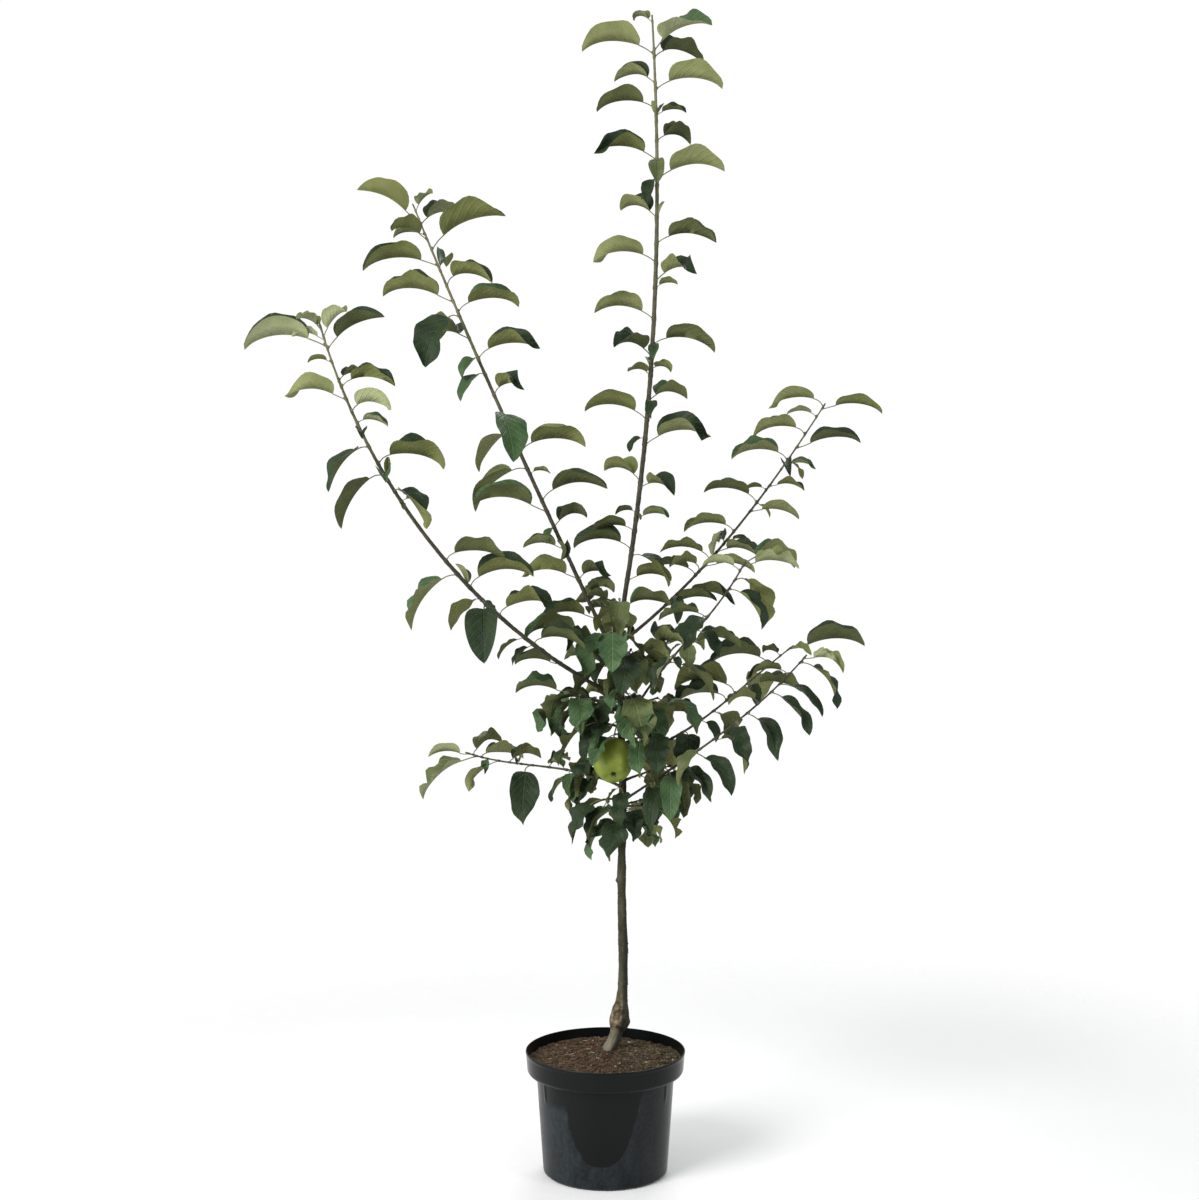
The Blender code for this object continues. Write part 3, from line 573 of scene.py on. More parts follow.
def mottled(name, scale, detail, dark, pale, depth, ends=(0.3, 0.7), streaked=False, **constants):
    """A finish of two near colours in specks that also stand in relief. Streaked specks are
    three times as long in X and rougher."""
    made = Finish(name, **constants)
    place = made.place.moved((0, 0, 0), (3, 1, 1)) if streaked else made.place
    marks = place.noise(scale, detail, 0.6 if streaked else 0.5)
    return made.feed(marks, depth, base_color=marks.band(*ends).mixed(dark, pale))


litter = [
    mottled(
        name, 300.0, 3.0, dark, pale, 0.0005, (0.35, 0.65), True,
        roughness=0.88, specular_ior_level=0.15,
    )
    for name, dark, pale in (
        ("bark_chip_red", (0.110, 0.050, 0.029), (0.066, 0.033, 0.020)),
        ("bark_chip_brown", (0.096, 0.063, 0.038), (0.053, 0.036, 0.022)),
        ("bark_chip_dark", (0.022, 0.016, 0.010), (0.042, 0.030, 0.020)),
        ("wood_chip_tan", (0.190, 0.125, 0.070), (0.120, 0.078, 0.044)),
        ("wood_chip_pale", (0.380, 0.310, 0.220), (0.250, 0.195, 0.135)),
    )
]
draw, big_draw = np.random.default_rng(12), np.random.default_rng(18)
loose = []
for name, count, seed, length, width, depth, tilt, dealt, odds, crease in (
    ("bark_chips", CHIPS, 11, (0.0022, 0.0085), (0.0012, 0.0034), (0.0005, 0.0014), 24,
     draw, (0.30, 0.36, 0.24, 0.085, 0.015), 25),
    ("big_chips", BIG_CHIPS, 17, (0.0075, 0.0150), (0.0030, 0.0062), (0.0008, 0.0016), 16,
     big_draw, (0.32, 0.30, 0.20, 0.11, 0.07), 25),
    ("soil_crumbs", CRUMBS, 13, (0.0014, 0.0034), (0.0012, 0.0030), (0.0010, 0.0024), 60,
     draw, (0.20, 0.41, 0.31, 0.07, 0.01), 70),
):
    points, faces = chips(count, seed, length, width, depth, tilt)
    kind = dealt.choice(5, count, p=odds)
    if name == "bark_chips":  # the red ones of the mossy side turn brown or dark
        mossy = points.mean(axis=1)[:, 0] > 0.02
        kind = np.where(mossy & (kind == 0), 1 + (draw.random(count) > 0.5), kind)
    points, kind = points.reshape(-1, 3), np.repeat(kind, 6)
    loose.append(new_piece(name, points, faces, litter, kind, crease=crease))

# Moss: clumps of short blunt fingers, thickest where a slow ripple and the right side agree
TUFTS = 700
moss = mottled(
    "moss", 260.0, 3.0, (0.050, 0.052, 0.024), (0.108, 0.108, 0.048), 0.0006, roughness=0.9
)
draw = np.random.default_rng(21)
spots = scattered(TUFTS * 4, draw, 0.117, 0.0)
mossy = ripple(spots[:, :2], 0.05, 5) + spots[:, 0] * 16 + draw.normal(0, 0.35, len(spots))
spots = spots[np.argsort(-mossy)[:TUFTS]]
finger = lathe(np.array([(0.8, -0.6), (1.0, 0.1), (0.75, 0.7), (0.25, 1.0)]), 7)
tufts = np.broadcast_to(finger, (TUFTS, *finger.shape[1:])).reshape(TUFTS, -1, 3)
tufts = tufts * draw.uniform(0.75, 1.25, tufts.shape) * draw.uniform(0.0007, 0.0019, (TUFTS, 1, 1))
tufts = (turned_at_random(tufts, draw, 40) + spots[:, None]).reshape(TUFTS, 4, 7, 3)
loose.append(new_piece("moss_tufts", *closed_tubes(tufts), [moss]))
for piece in loose:
    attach(piece, "root")


# Trunk: a maiden stem of two or three years, budded on a leaning rootstock. The union is
# swollen, with a blunt lump to the right, and above it the bark is olive brown and fine.
GAP = 0.0003
TRUNK_FOOT = np.array((0.006, 0.035, SOIL_TOP + GAP))
FORK_HEIGHT = 0.909
TRUNK_LENGTH = FORK_HEIGHT - TRUNK_FOOT[2]
ROOTSTOCK_RADIUS = 0.0102
STEM_RADIUS = 0.0084
FORK_RADIUS = 0.0048
FLARE = 0.0010
FLARE_HEIGHT = 0.008
UNION_HEIGHT = 0.048
UNION_SWELL = 0.0060
UNION_SPREAD_BELOW = 0.014
UNION_SPREAD_ABOVE = 0.030
LEAN_SHIFT = 0.0225
LEAN_HEIGHT = 0.035
SWAY = 0.0013
SWAY_PERIOD = 0.31
SWAY_CREST = 0.13
TRUNK_DRIFT = 0.0045
TRUNK_FORWARD = 0.015
TRUNK_RINGS = 520
TRUNK_SIDES = 56


def direction(heading, pitch):
    """Unit vectors of a compass heading and a rise above level, in degrees."""
    turn, rise = np.radians(heading), np.radians(pitch)
    turn, rise = np.broadcast_arrays(turn, rise)
    level = np.cos(rise)
    return np.stack([level * np.cos(turn), level * np.sin(turn), np.sin(rise)], -1)


def trunk_centre(rise):
    """The trunk's centre at heights above the soil: it leans right, then sways."""
    rise = np.asarray(rise, float)
    share = rise / TRUNK_LENGTH
    lean = LEAN_SHIFT * (1 - np.exp(-np.maximum(rise, 0) / LEAN_HEIGHT))
    sway = SWAY * np.cos(2 * np.pi * (rise - SWAY_CREST) / SWAY_PERIOD)
    x = lean + sway * smooth(rise / SWAY_CREST) - TRUNK_DRIFT * share**2
    return TRUNK_FOOT + np.stack([x, -TRUNK_FORWARD * share, rise], -1)


def bell(away, spread):
    """1 at 0, falling off evenly on both sides: exp(-(away / spread)^2)."""
    return np.exp(-((away / spread) ** 2))


def trunk_radius(rise):
    """Its radius: flare at the soil, rootstock, union swelling and taper to the fork."""
    share = rise / TRUNK_LENGTH
    slender = STEM_RADIUS + (FORK_RADIUS - STEM_RADIUS) * share
    stock = (ROOTSTOCK_RADIUS - STEM_RADIUS) * (1 - smooth((rise - 0.04) / 0.05))
    away = rise - UNION_HEIGHT
    spread = np.where(away < 0, UNION_SPREAD_BELOW, UNION_SPREAD_ABOVE)
    flare = FLARE * np.exp(-np.maximum(rise, 0) / FLARE_HEIGHT)
    return slender + stock + UNION_SWELL * bell(away, spread) + flare


def square_to(ahead, beside):
    """The part of beside that is square to the unit ways ahead, made one long."""
    return unit(beside - ahead * (ahead * beside).sum(-1, keepdims=True))


def rings_along(path, radius, sides, beside):
    """Rings of a tube round each (tube, ring, xyz) path: c + r (cos a u + sin a v), where u
    is beside made square to the path and v is the path's way crossed with u."""
    ahead = unit(np.gradient(path, axis=1))
    u = square_to(ahead, beside)
    v = np.cross(ahead, u)
    angle = np.linspace(0, 2 * np.pi, sides, endpoint=False)[:, None]
    around = u[:, :, None] * np.cos(angle) + v[:, :, None] * np.sin(angle)
    if radius.ndim == 2:
        radius = radius[..., None]
    return path[:, :, None] + around * radius[..., None]


def tube_chart(tubes, count, sides):
    """Places on a tube's map: U once round and V from 0 at its foot to 1 at its tip."""
    v, u = np.meshgrid(np.linspace(0, 1, count), np.arange(sides) / sides, indexing="ij")
    flat = np.stack([u, v], -1).reshape(-1, 2)
    flat = np.concatenate([flat, [(0.5, 0.0), (0.5, 1.0)]])
    return np.tile(flat, (tubes, 1))


rise = np.linspace(-0.006, TRUNK_LENGTH, TRUNK_RINGS)
trunk_path = trunk_centre(rise)[None]
bare = rings_along(trunk_path, trunk_radius(rise)[None], TRUNK_SIDES, np.array((1.0, 0, 0)))
stretched = bare * np.array((1.0, 1.0, 0.22))
relief = 0.00022 * ripple(stretched, 0.0042, 31) + 0.00016 * ripple(bare, 0.0022, 32)
union_relief = bell(rise - 0.050, 0.030)[None, :, None] * ripple(bare, 0.016, 34)
relief += 0.00042 * ripple(bare, 0.045, 33) + 0.0011 * union_relief
# The rings that each year's first leaves left, as a ridge with a groove under it
for height, depth in ((0.110, 0.0006), (0.178, 0.0007), (0.262, 0.0003), (0.421, 0.0004)):
    ring = (rise - height) / 0.0016
    relief += depth * (bell(ring, 1) - 0.5 * bell(ring + 1.8, 1))[None, :, None]
# The lumps of the union and of a cut snag
for height, beside, spread, proud in (
    (0.049, (0.0165, -0.004, 0), 0.0075, 0.0026),
    (0.062, (-0.012, -0.010, 0), 0.0100, 0.0013),
    (0.2845, (-0.0068, -0.002, 0), 0.0034, 0.0030),
    (0.165, (0.0070, -0.001, 0), 0.0050, 0.0010),
):
    away = np.linalg.norm(bare - (trunk_centre(height) + beside), axis=-1)
    relief += proud * bell(away, spread)
relief *= np.clip((TRUNK_LENGTH - rise) / 0.02, 0.25, 1)[None, :, None]
shaped = trunk_radius(rise)[None, :, None] + relief
trunk_rings = rings_along(trunk_path, shaped, TRUNK_SIDES, np.array((1.0, 0, 0)))

bark = Finish("trunk_bark", specular_ior_level=0.25)
fibre = bark.place.moved((0, 0, 0), (1, 1, 5)).noise(330.0, 4.0, 0.6)
cloud = bark.place.moved((0, 0, 0), (1, 1, 2.2)).noise(52.0, 4.0, 0.62)
fine = bark.place.noise(900.0, 3.0, 0.6)
pores = bark.place.moved((0, 0, 0), (2.2, 2.2, 0.8)).noise(520.0, 1.0)
height = bark.place.axis("Z")
blotch = bark.place.noise(105.0, 3.0, 0.55)
olive = cloud.ramp(
    (0.30, (0.016, 0.016, 0.007)), (0.50, (0.036, 0.035, 0.016)), (0.72, (0.074, 0.068, 0.036))
)
stock = cloud.ramp(
    (0.30, (0.090, 0.080, 0.052)), (0.50, (0.140, 0.126, 0.088)), (0.70, (0.196, 0.178, 0.130))
)
patched = blotch.ramp(
    (0.36, (0.020, 0.016, 0.010)), (0.50, (0.098, 0.068, 0.036)), (0.64, (0.240, 0.195, 0.128))
)
at_union = height.band(0.222, 0.236) * height.band(0.300, 0.262)
above = height.band(0.232, 0.252)
colour = at_union.mixed(above.mixed(stock, olive), patched)
# Painted shade: the right side of the trunk, from just right of its leaning centre, is darkened
# towards near black.
leaning = (height - TRUNK_FOOT[2]) / -LEAN_HEIGHT
centre = TRUNK_FOOT[0] + LEAN_SHIFT * (1.0 - leaning.maths("POWER", math.e, leaning))
painted_right_shade = (bark.place.axis("X") - centre + (cloud - 0.5) * 0.006).band(-0.0005, 0.0045)
colour = (painted_right_shade * 0.84).mixed(colour, (0.010, 0.010, 0.007))
colour = (fibre.band(0.52, 0.70) * 0.45).mixed(colour, (0.040, 0.034, 0.022))
colour = (pores.band(0.66, 0.74) * 0.5).mixed(colour, (0.170, 0.150, 0.105))
trunk_bark = bark.feed(
    base_color=colour,
    roughness=0.62 + fine * 0.25,
    relief=fibre * 0.7 + fine * 0.25 + pores.band(0.62, 0.74) * 0.4,
    depth=0.0006,
)
chart = tube_chart(1, TRUNK_RINGS, TRUNK_SIDES)
trunk = new_piece("trunk_stem", *closed_tubes(trunk_rings), [trunk_bark], chart=chart)
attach(trunk, "root")
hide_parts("trunk")


# Boughs: eight long shoots of last year and this one. Each grows in one upright plane, on a
# parabola through its rises at foot, middle and tip, and its bare foot has older bark.
# Each word of leaves is one leaf: centimetres up the bough, compass heading (e is right and
# s is to the front) and blade length in centimetres. A capital heading is a blade held out
# and folded, a small one hangs open, a plus lifts it, and ~ swings it clear of another.
Bough = namedtuple("Bough", "name height heading rises length foot_radius tip_radius bare leaves")
BOUGHS = [
    Bough(
        "leader", FORK_HEIGHT, 12, (79.9, 87.2, 93.6), 0.957, 0.0038, 0.0014, 0.045,
        "6E6 10e7 11W8 14W6 16E4.5 17W3 21SE7 22NW7 28E9 29w3 32W8.5 35NE7 39SW4 40SE4 42SW8"
        " 44E8.5 48W8 53E3 54SE8 57W8.5 60E8 64NW7 69w3 70E9 73W8.5 76NE7 79S5 80E4 81W8 84E9"
        " 85NW7 89NE8.5 89.5W9.5 90SE+9.5 94.5NW+4",
    ),
    Bough(
        "upper_left", 0.827, 142, (58.1, 59.4, 62.0), 0.881, 0.0033, 0.0012, 0.08,
        "9W7.5 13SE6 16SE6 16.5W7.5 21S6 22W5.5 26NE6.5 29W10 31E9.5 36E3 37w9.5 40E9.5 44nw8.5"
        " 47se9.5~-28 51SE7 55sw6 58E9 62NW9 66sw10 67E9 69W10 72SE9 75N7.5 76W10.5 79E+11.5"
        " 81SW6.5 82W4.5 84NE+7.5 85W+9.5 86.5SE+5",
    ),
    Bough(
        "outer_left", 0.778, 213, (26.2, 47.9, 73.1), 0.824, 0.0033, 0.0011, 0.11,
        "13W6 19E7.5 21w4.5 27E8 30s9.5 31nw7 34E9 37w9.5 40E8 52E3.5 54se8 56S6.5 57w9 59E9"
        " 62sw8.5 64S4 66E4 68SE7 70W7.5 72E7 73NE4 76W3 78E+8 78.5W10 79.5W4 80SE+6 81NW+4"
        " 81.5SW+4",
    ),
    Bough(
        "upper_right", 0.868, 40, (26.9, 40.4, 47.8), 0.603, 0.0028, 0.0012, 0.09,
        "11E7 13s6 14E8 19W7 20SW6.5 21.5E7 23W7.5 25SE7.5 27N6.5 28E3.5 30W7.5 35E7 37W8 40W3.5"
        " 41E5 45S7 46E4.5 47W8.5 50E9 53W8 57W4.5 59E8.5 59.5W8.5",
    ),
    Bough(
        "middle_right", 0.712, -52, (61.0, 40.1, 53.6), 0.431, 0.0022, 0.0012, 0.16,
        "18e8 20sw6 23E7.5 24s5 27se5 30W6.5 30.5sw7 37e7 39ne9 41W5 42E7 42.5NE9.5",
    ),
    Bough(
        "lower_right", 0.609, -30, (34.2, 37.0, 48.9), 0.418, 0.0021, 0.0012, 0.045,
        "6s8 10s8 13se7 16se8 17sw7 20E4.5 25s8.5 27.5se8 30SW7 33se8 35e7 37W6 40e8 41SE7",
    ),
    Bough(
        "back_right", 0.682, 32, (4.1, 29.1, 28.8), 0.383, 0.0025, 0.0011, 0.08,
        "10n7 12s7.5 16W8.5 19ne7.5 22W8.5 24W9.5 27E7.5 30n7.5 32W9 35NW4 37SE4 37.5E10.5",
    ),
    Bough(
        "lower_left", 0.631, 160, (24.4, 3.1, 15.2), 0.282, 0.0021, 0.0012, 0.045,
        "6sw6 7s6 8w5.5 9se5.5~-28 10NW4 13NE5 16s9.5 18S3.5 20E6~28 22w6 24s3 25E7~28 26w9.5"
        " 26.5NE7.5 27.5W5.5",
    ),
]
PATH_STEPS = 120
BOUGH_RINGS, BOUGH_SIDES = 110, 28
SHOOT_RINGS, SHOOT_SIDES = 330, 14
WHIP_LENGTH = 0.7
WHIP_TAPER = 3.2
COLLAR = 0.0016
NODE_SWELL = 0.00062


def on_trunk(height):
    """The trunk's centre at a height above the floor."""
    return trunk_centre(height - TRUNK_FOOT[2])


def bough_path(bough):
    """Evenly spaced points from the trunk's centre to the tip: the sum of small steps whose
    rise follows foot (1-s)(1-2s) + middle 4s(1-s) + tip s(2s-1)."""
    s = (np.arange(PATH_STEPS) + 0.5) / PATH_STEPS
    foot, middle, tip = bough.rises
    rise = foot * (1 - s) * (1 - 2 * s) + middle * 4 * s * (1 - s) + tip * s * (2 * s - 1)
    steps = direction(bough.heading, rise) * (bough.length / PATH_STEPS)
    start = on_trunk(bough.height)
    return np.concatenate([[start], start + np.cumsum(steps, axis=0)])


def along(path, shares):
    """Points and unit tangents at shares of a path of even segments."""
    place = np.minimum(np.asarray(shares, float), 0.9999) * (len(path) - 1)
    i = place.astype(int)
    span = path[i + 1] - path[i]
    return path[i] + span * (place - i)[..., None], unit(span)


def read_words(limb):
    """Each written leaf's share of the limb, its word, habit, heading, swing and length."""
    for word in limb.leaves.split():
        word, _, swing = word.partition("~")
        found = re.fullmatch(r"([\d.]+)([A-Za-z]+)(\+?)([\d.]+)", word)
        place, letters, lift, size = found.groups()
        habit = LIFTED if lift else HELD if letters.isupper() else HANGING
        heading = COMPASS[letters.lower()] + float(swing or 0)
        yield float(place) / 100 / limb.length, word, habit, heading, float(size) / 100


def node_swelling(shares, nodes, length):
    """How much a shoot thickens at its leaf nodes: a sharp ledge below each and a soft slope
    above it, summed over the nodes."""
    away = (shares[:, None] - nodes[None]) * length
    return bell(away, np.where(away > 0, 0.0045, 0.0016)).sum(-1)


COMPASS = {"e": 0, "ne": 45, "n": 90, "nw": 135, "w": 180, "sw": 225, "s": 270, "se": 315}
# The habits of leaves: their pitch at the foot and at the tip, and their fold, in degrees
HELD = (21, -35, 54)
HANGING = (-30, -78, 24)
LIFTED = (38, -8, 46)
CLASPING = (76, 48, 60)
foot_rings, shoot_rings = [], []
paths = {}
for number, bough in enumerate(BOUGHS):
    path = bough_path(bough)
    paths[bough.name] = path
    beside = direction(bough.heading - 90, 0)
    nodes = np.array([share for share, *_ in read_words(bough)])
    parting = bough.bare / bough.length
    for first, last, count, sides, runs in (
        (0.0, parting, BOUGH_RINGS, BOUGH_SIDES, foot_rings),
        (parting, 1.0, SHOOT_RINGS, SHOOT_SIDES, shoot_rings),
    ):
        s = np.linspace(first, last, count)
        centre = along(path, s)[0][None]
        taper = s ** (WHIP_TAPER if bough.length > WHIP_LENGTH else 1)
        radius = bough.foot_radius + (bough.tip_radius - bough.foot_radius) * taper
        plain = rings_along(centre, radius[None], sides, beside)
        scale = radius[None, :, None]
        relief = scale * 0.05 * ripple(plain, 0.010, 40 + number)
        relief += scale * 0.035 * ripple(plain * (1, 1, 0.5), 0.0025, 60 + number)
        relief += NODE_SWELL * node_swelling(s, nodes, bough.length)[None, :, None]
        if runs is foot_rings:
            relief += COLLAR * np.exp(-s * bough.length / 0.009)[None, :, None]
        runs.append(rings_along(centre, scale + relief, sides, beside))

grown = Finish("bough_bark", specular_ior_level=0.25)
fibre = grown.place.noise(520.0, 4.0, 0.6)
cloud = grown.place.noise(70.0, 4.0, 0.6)
pores = grown.place.noise(700.0, 1.0)
colour = cloud.ramp(
    (0.30, (0.026, 0.023, 0.012)), (0.52, (0.042, 0.037, 0.021)), (0.72, (0.072, 0.062, 0.038))
)
colour = (fibre.band(0.54, 0.72) * 0.4).mixed(colour, (0.040, 0.032, 0.020))
colour = (pores.band(0.64, 0.72) * 0.5).mixed(colour, (0.180, 0.150, 0.100))
bough_bark = grown.feed(
    base_color=colour,
    roughness=0.55 + fibre * 0.25,
    relief=fibre * 0.6 + pores.band(0.6, 0.72) * 0.5,
    depth=0.0004,
)
points, faces = closed_tubes(np.concatenate(foot_rings))
chart = tube_chart(len(BOUGHS), BOUGH_RINGS, BOUGH_SIDES)
bough_feet = new_piece("bough_feet", points, faces, [bough_bark], chart=chart)
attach(bough_feet, "root")
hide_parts(*[f"bough_{bough.name}" for bough in BOUGHS])


# Shoots and spurs: this year's wood, grey brown and turning olive green towards the tips,
# with a ledge at each leaf. Spurs are short, stout and ringed, and make the inner crown.
Spur = namedtuple("Spur", "name height heading rise length leaves size", defaults=(0,))
SPURS = [
    Spur("fruit", 0.722, 262, 26, 0.055, "5.2sw6.5 3.4e5"),
    Spur("front_crown", 0.897, 265, 55, 0.056, "5.4s6.5 3.2E7 4w5"),
    Spur("front_high", 0.868, 250, 34, 0.052, "5.2s8 4sw8 2.8e8"),
    Spur("front_upper", 0.838, 275, 30, 0.046, "4.5s8 3.4se6 2.4w6~28"),
    Spur("right_high", 0.822, 305, 15, 0.038, "3.8se8~-84 2.6e7~56"),
    Spur("left_high", 0.822, 238, 18, 0.034, "1.9W8~-28 3.3sw7~-84"),
    Spur("left_crown", 0.85, 190, 30, 0.06, "5.6W9 4.4SW6.5 3nw7~-28"),
    Spur("front_middle", 0.775, 275, 22, 0.052, "5.2s9~28 4.2sw9~56 3e7~-56"),
    Spur("left_middle", 0.755, 204, 22, 0.1, "10W7 7.6s7 9nw6 5w7 3.4sw6"),
    Spur("left_fruit", 0.73, 212, 15, 0.045, "4.5w8 3.4W7~-56 2.2sw6~-28"),
    Spur("right_fruit", 0.702, 308, 20, 0.05, "5s7 3.6se7 2.4e6"),
    Spur("right_low", 0.642, 350, 18, 0.085, "8.5e5~28 7s8~28 5.6se8 4.2s8~56 2.8e7 6.4e7"),
    Spur("front_low", 0.632, 262, 8, 0.034, "3.3s6 2.4w3~28"),
    Spur("left_low", 0.612, 222, 5, 0.044, "4.4w7.5~28 3.2sw7 2.2w6"),
    Spur("right_foot", 0.6, 325, 5, 0.05, "5e6 3.6se6 2.4s6"),
    Spur("front_foot", 0.58, 275, 15, 0.034, "3.4s7~-28 2.6w8 1.8e6"),
    Spur("back_top", 0.885, 100, 40, 0.075, "56 -28 0 -28 0", 0.072),
    Spur("right_back", 0.84, 22, 20, 0.075, "0 0 0 0 0", 0.074),
    Spur("back_high", 0.815, 75, 25, 0.08, "28 x 28 -28 0", 0.074),
    Spur("left_back", 0.76, 150, 12, 0.08, "28 -28 0 0 0", 0.074),
    Spur("back_middle", 0.742, 100, 20, 0.08, "0 28 0 0 0", 0.074),
    Spur("right_middle", 0.758, 358, 18, 0.065, "0 0 0 0", 0.076),
    Spur("back_low", 0.655, 80, 15, 0.075, "0 0 0 0 0", 0.072),
    Spur("left_rear", 0.668, 140, 10, 0.06, "28 0 56 0", 0.07),
    Spur("back_foot", 0.585, 95, 5, 0.06, "0 0 0 0 0", 0.07),
]
SPUR_RADII = (0.0022, 0.0012)
FINE_RADII = (0.0016, 0.0009)
SPUR_RINGS, SPUR_SIDES = 60, 12
SPUR_SEGMENTS = 4
SPUR_FIRST_LEAF = 0.4
SPUR_LAST_LEAF = 0.97
SPUR_DROOP = 10
SPUR_SWING = 95
FINE_SPURS = 4
FINE_FOOT = 0.590
FINE_TOP = 0.870
GOLDEN_TURN = 137.5


def spur_path(spur):
    """Points along a spur from the trunk's centre, bending down a little to its tip."""
    pitch = spur.rise + SPUR_DROOP * (0.5 - np.arange(SPUR_SEGMENTS) / SPUR_SEGMENTS)
    steps = direction(spur.heading, pitch) * (spur.length / SPUR_SEGMENTS)
    start = on_trunk(spur.height)
    return np.concatenate([[start], start + np.cumsum(steps, axis=0)])


def read_swings(spur):
    """The leaves of a spur without words, one for each number but x. They swing from side
    to side by a seeded rule, and the number is how much further each turns, in degrees."""
    draw = random.Random(spur.name)
    side = draw.choice((-1, 1))
    swings = spur.leaves.split()
    for i, swing in enumerate(swings):
        share = SPUR_FIRST_LEAF + (SPUR_LAST_LEAF - SPUR_FIRST_LEAF) * i / (len(swings) - 1)
        turn = 0 if i == len(swings) - 1 else side * draw.uniform(0.35, 1.0) * SPUR_SWING
        side = -side
        length = spur.size * draw.uniform(0.78, 1.12)
        habit = HELD if draw.random() < (spur.height - 0.55) / 0.6 else HANGING
        if swing != "x":
            yield share, str(i), habit, spur.heading + turn + float(swing), length


# The finer growth: two leaves hang before the fruit and beside it, and more short spurs wind
# up the trunk by the same rule, a golden turn apart
fine_spurs = [
    Spur("fine_front", 0.716, 262, 10, 0.072, "7.1sw5.5"),
    Spur("fine_side", 0.722, 325, 10, 0.070, "6.8s7.2"),
]
for i in range(FINE_SPURS):
    draw = random.Random(f"fine {i}")
    height = FINE_FOOT + (FINE_TOP - FINE_FOOT) * (i + draw.random()) / FINE_SPURS
    heading = (i * GOLDEN_TURN + 15) % 360
    leaves = " ".join(["0"] * draw.choice((3, 4, 4, 5)))
    length = draw.uniform(0.030, 0.080) * (0.75 if 215 < heading < 325 else 1.0)
    size, rise = draw.uniform(0.045, 0.068), draw.uniform(0, 38)
    fine_spurs.append(Spur(f"fine_{i}", height, heading, rise, length, leaves, size))

spur_rings = []
for number, spur in enumerate(SPURS + fine_spurs):
    paths[spur.name] = spur_path(spur)
    s = np.linspace(0, 1, SPUR_RINGS)
    foot, tip = FINE_RADII if spur in fine_spurs else SPUR_RADII
    radius = foot + (tip - foot) * s + 0.0016 * np.exp(-s * spur.length / 0.007)
    ringed = 0.00028 * np.sin(s * spur.length / 0.0026 * 2 * np.pi) * smooth((s - 0.25) / 0.1)
    shape = (radius + ringed + 0.0006 * bell(s - SPUR_LAST_LEAF, 0.05))[None, :, None]
    centre = along(paths[spur.name], s)[0][None]
    beside = direction(spur.heading - 90, 0)
    plain = rings_along(centre, shape, SPUR_SIDES, beside)
    shape = shape + 0.00016 * ripple(plain, 0.004, 90 + number)
    spur_rings.append(rings_along(centre, shape, SPUR_SIDES, beside))

young = Finish("shoot_bark", specular_ior_level=0.25)
fibre = young.place.noise(600.0, 3.0, 0.6)
cloud = young.place.noise(60.0, 3.0)
pores = young.place.noise(850.0, 1.0)
tipward = young.chart.axis("Y")
old_wood = cloud.ramp((0.32, (0.024, 0.022, 0.012)), (0.68, (0.058, 0.052, 0.030)))
new_wood = cloud.ramp((0.32, (0.098, 0.098, 0.042)), (0.68, (0.178, 0.172, 0.086)))
aloft = young.place.axis("Z").band(0.95, 1.40)
colour = (tipward.band(0.25, 0.95) * aloft).mixed(old_wood, new_wood)
colour = (fibre.band(0.55, 0.75) * 0.35).mixed(colour, (0.045, 0.034, 0.024))
colour = (pores.band(0.66, 0.73) * 0.5).mixed(colour, (0.200, 0.175, 0.115))
shoot_bark = young.feed(
    base_color=colour,
    roughness=0.46 + fibre * 0.25,
    relief=fibre * 0.6 + pores.band(0.6, 0.73) * 0.4,
    depth=0.0003,
)
chart = tube_chart(len(BOUGHS), SHOOT_RINGS, SHOOT_SIDES)
points, faces = closed_tubes(np.concatenate(shoot_rings))
shoots = new_piece("shoot_stems", points, faces, [shoot_bark], chart=chart)
points, faces = closed_tubes(np.concatenate(spur_rings))
chart = tube_chart(len(spur_rings), SPUR_RINGS, SPUR_SIDES) * (1.0, 0.5)
spurs = new_piece("spur_stems", points, faces, [shoot_bark], chart=chart)
for piece in (shoots, spurs):
    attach(piece, "root")


# Leaves: oval, drawn to a point, leathery and dark above with sunk veins, downy and pale
# olive beneath. Each hangs on its own stalk from a node and is folded along its midrib.
SPREADS = (10, 10, 16, 26, 22)  # of pitch, fold, roll, twist and bend, in degrees
BLADE_WIDTH = 0.66
WIDEST = 0.42
BASE_POWER = 0.50
TIP_POWER = 0.84
STALK_LENGTH = 0.30
MIDRIB_STEPS = 24
STATIONS = np.array((
    0.0015, 0.02, 0.055, 0.105, 0.17, 0.24, 0.31, 0.38, 0.45,
    0.52, 0.59, 0.66, 0.73, 0.80, 0.87, 0.94, 1.0,
))
MARGINS = (0, 0, 0, 1, 1)  # the margin, left or right, that each column of a blade follows
SIDE_LEAF_SHARE = 0.18
SIDE_LEAF_END = 0.8
SPARSE = {"lower_right": 0.5}
SLENDER = {"upper_right": 0.74, "middle_right": 0.84, "lower_right": 0.70, "lower_left": 0.84}

Leaf = namedtuple("Leaf", "root tangent heading length pitch fold roll twist bend owner share")


def new_leaf(seed, owner, share, heading, length, habit):
    """A leaf at a share of its owner's path, with its seeded spread of pitch, fold and so on."""
    draw = random.Random(seed)
    pitch, fold, roll, twist, bend = (draw.uniform(-spread, spread) for spread in SPREADS)
    pitch = tuple(p + pitch for p in habit[:2])
    root, tangent = along(paths[owner], share)
    fold = habit[2] + fold
    return Leaf(root, tangent, heading, length, pitch, fold, roll, twist, bend, owner, share)


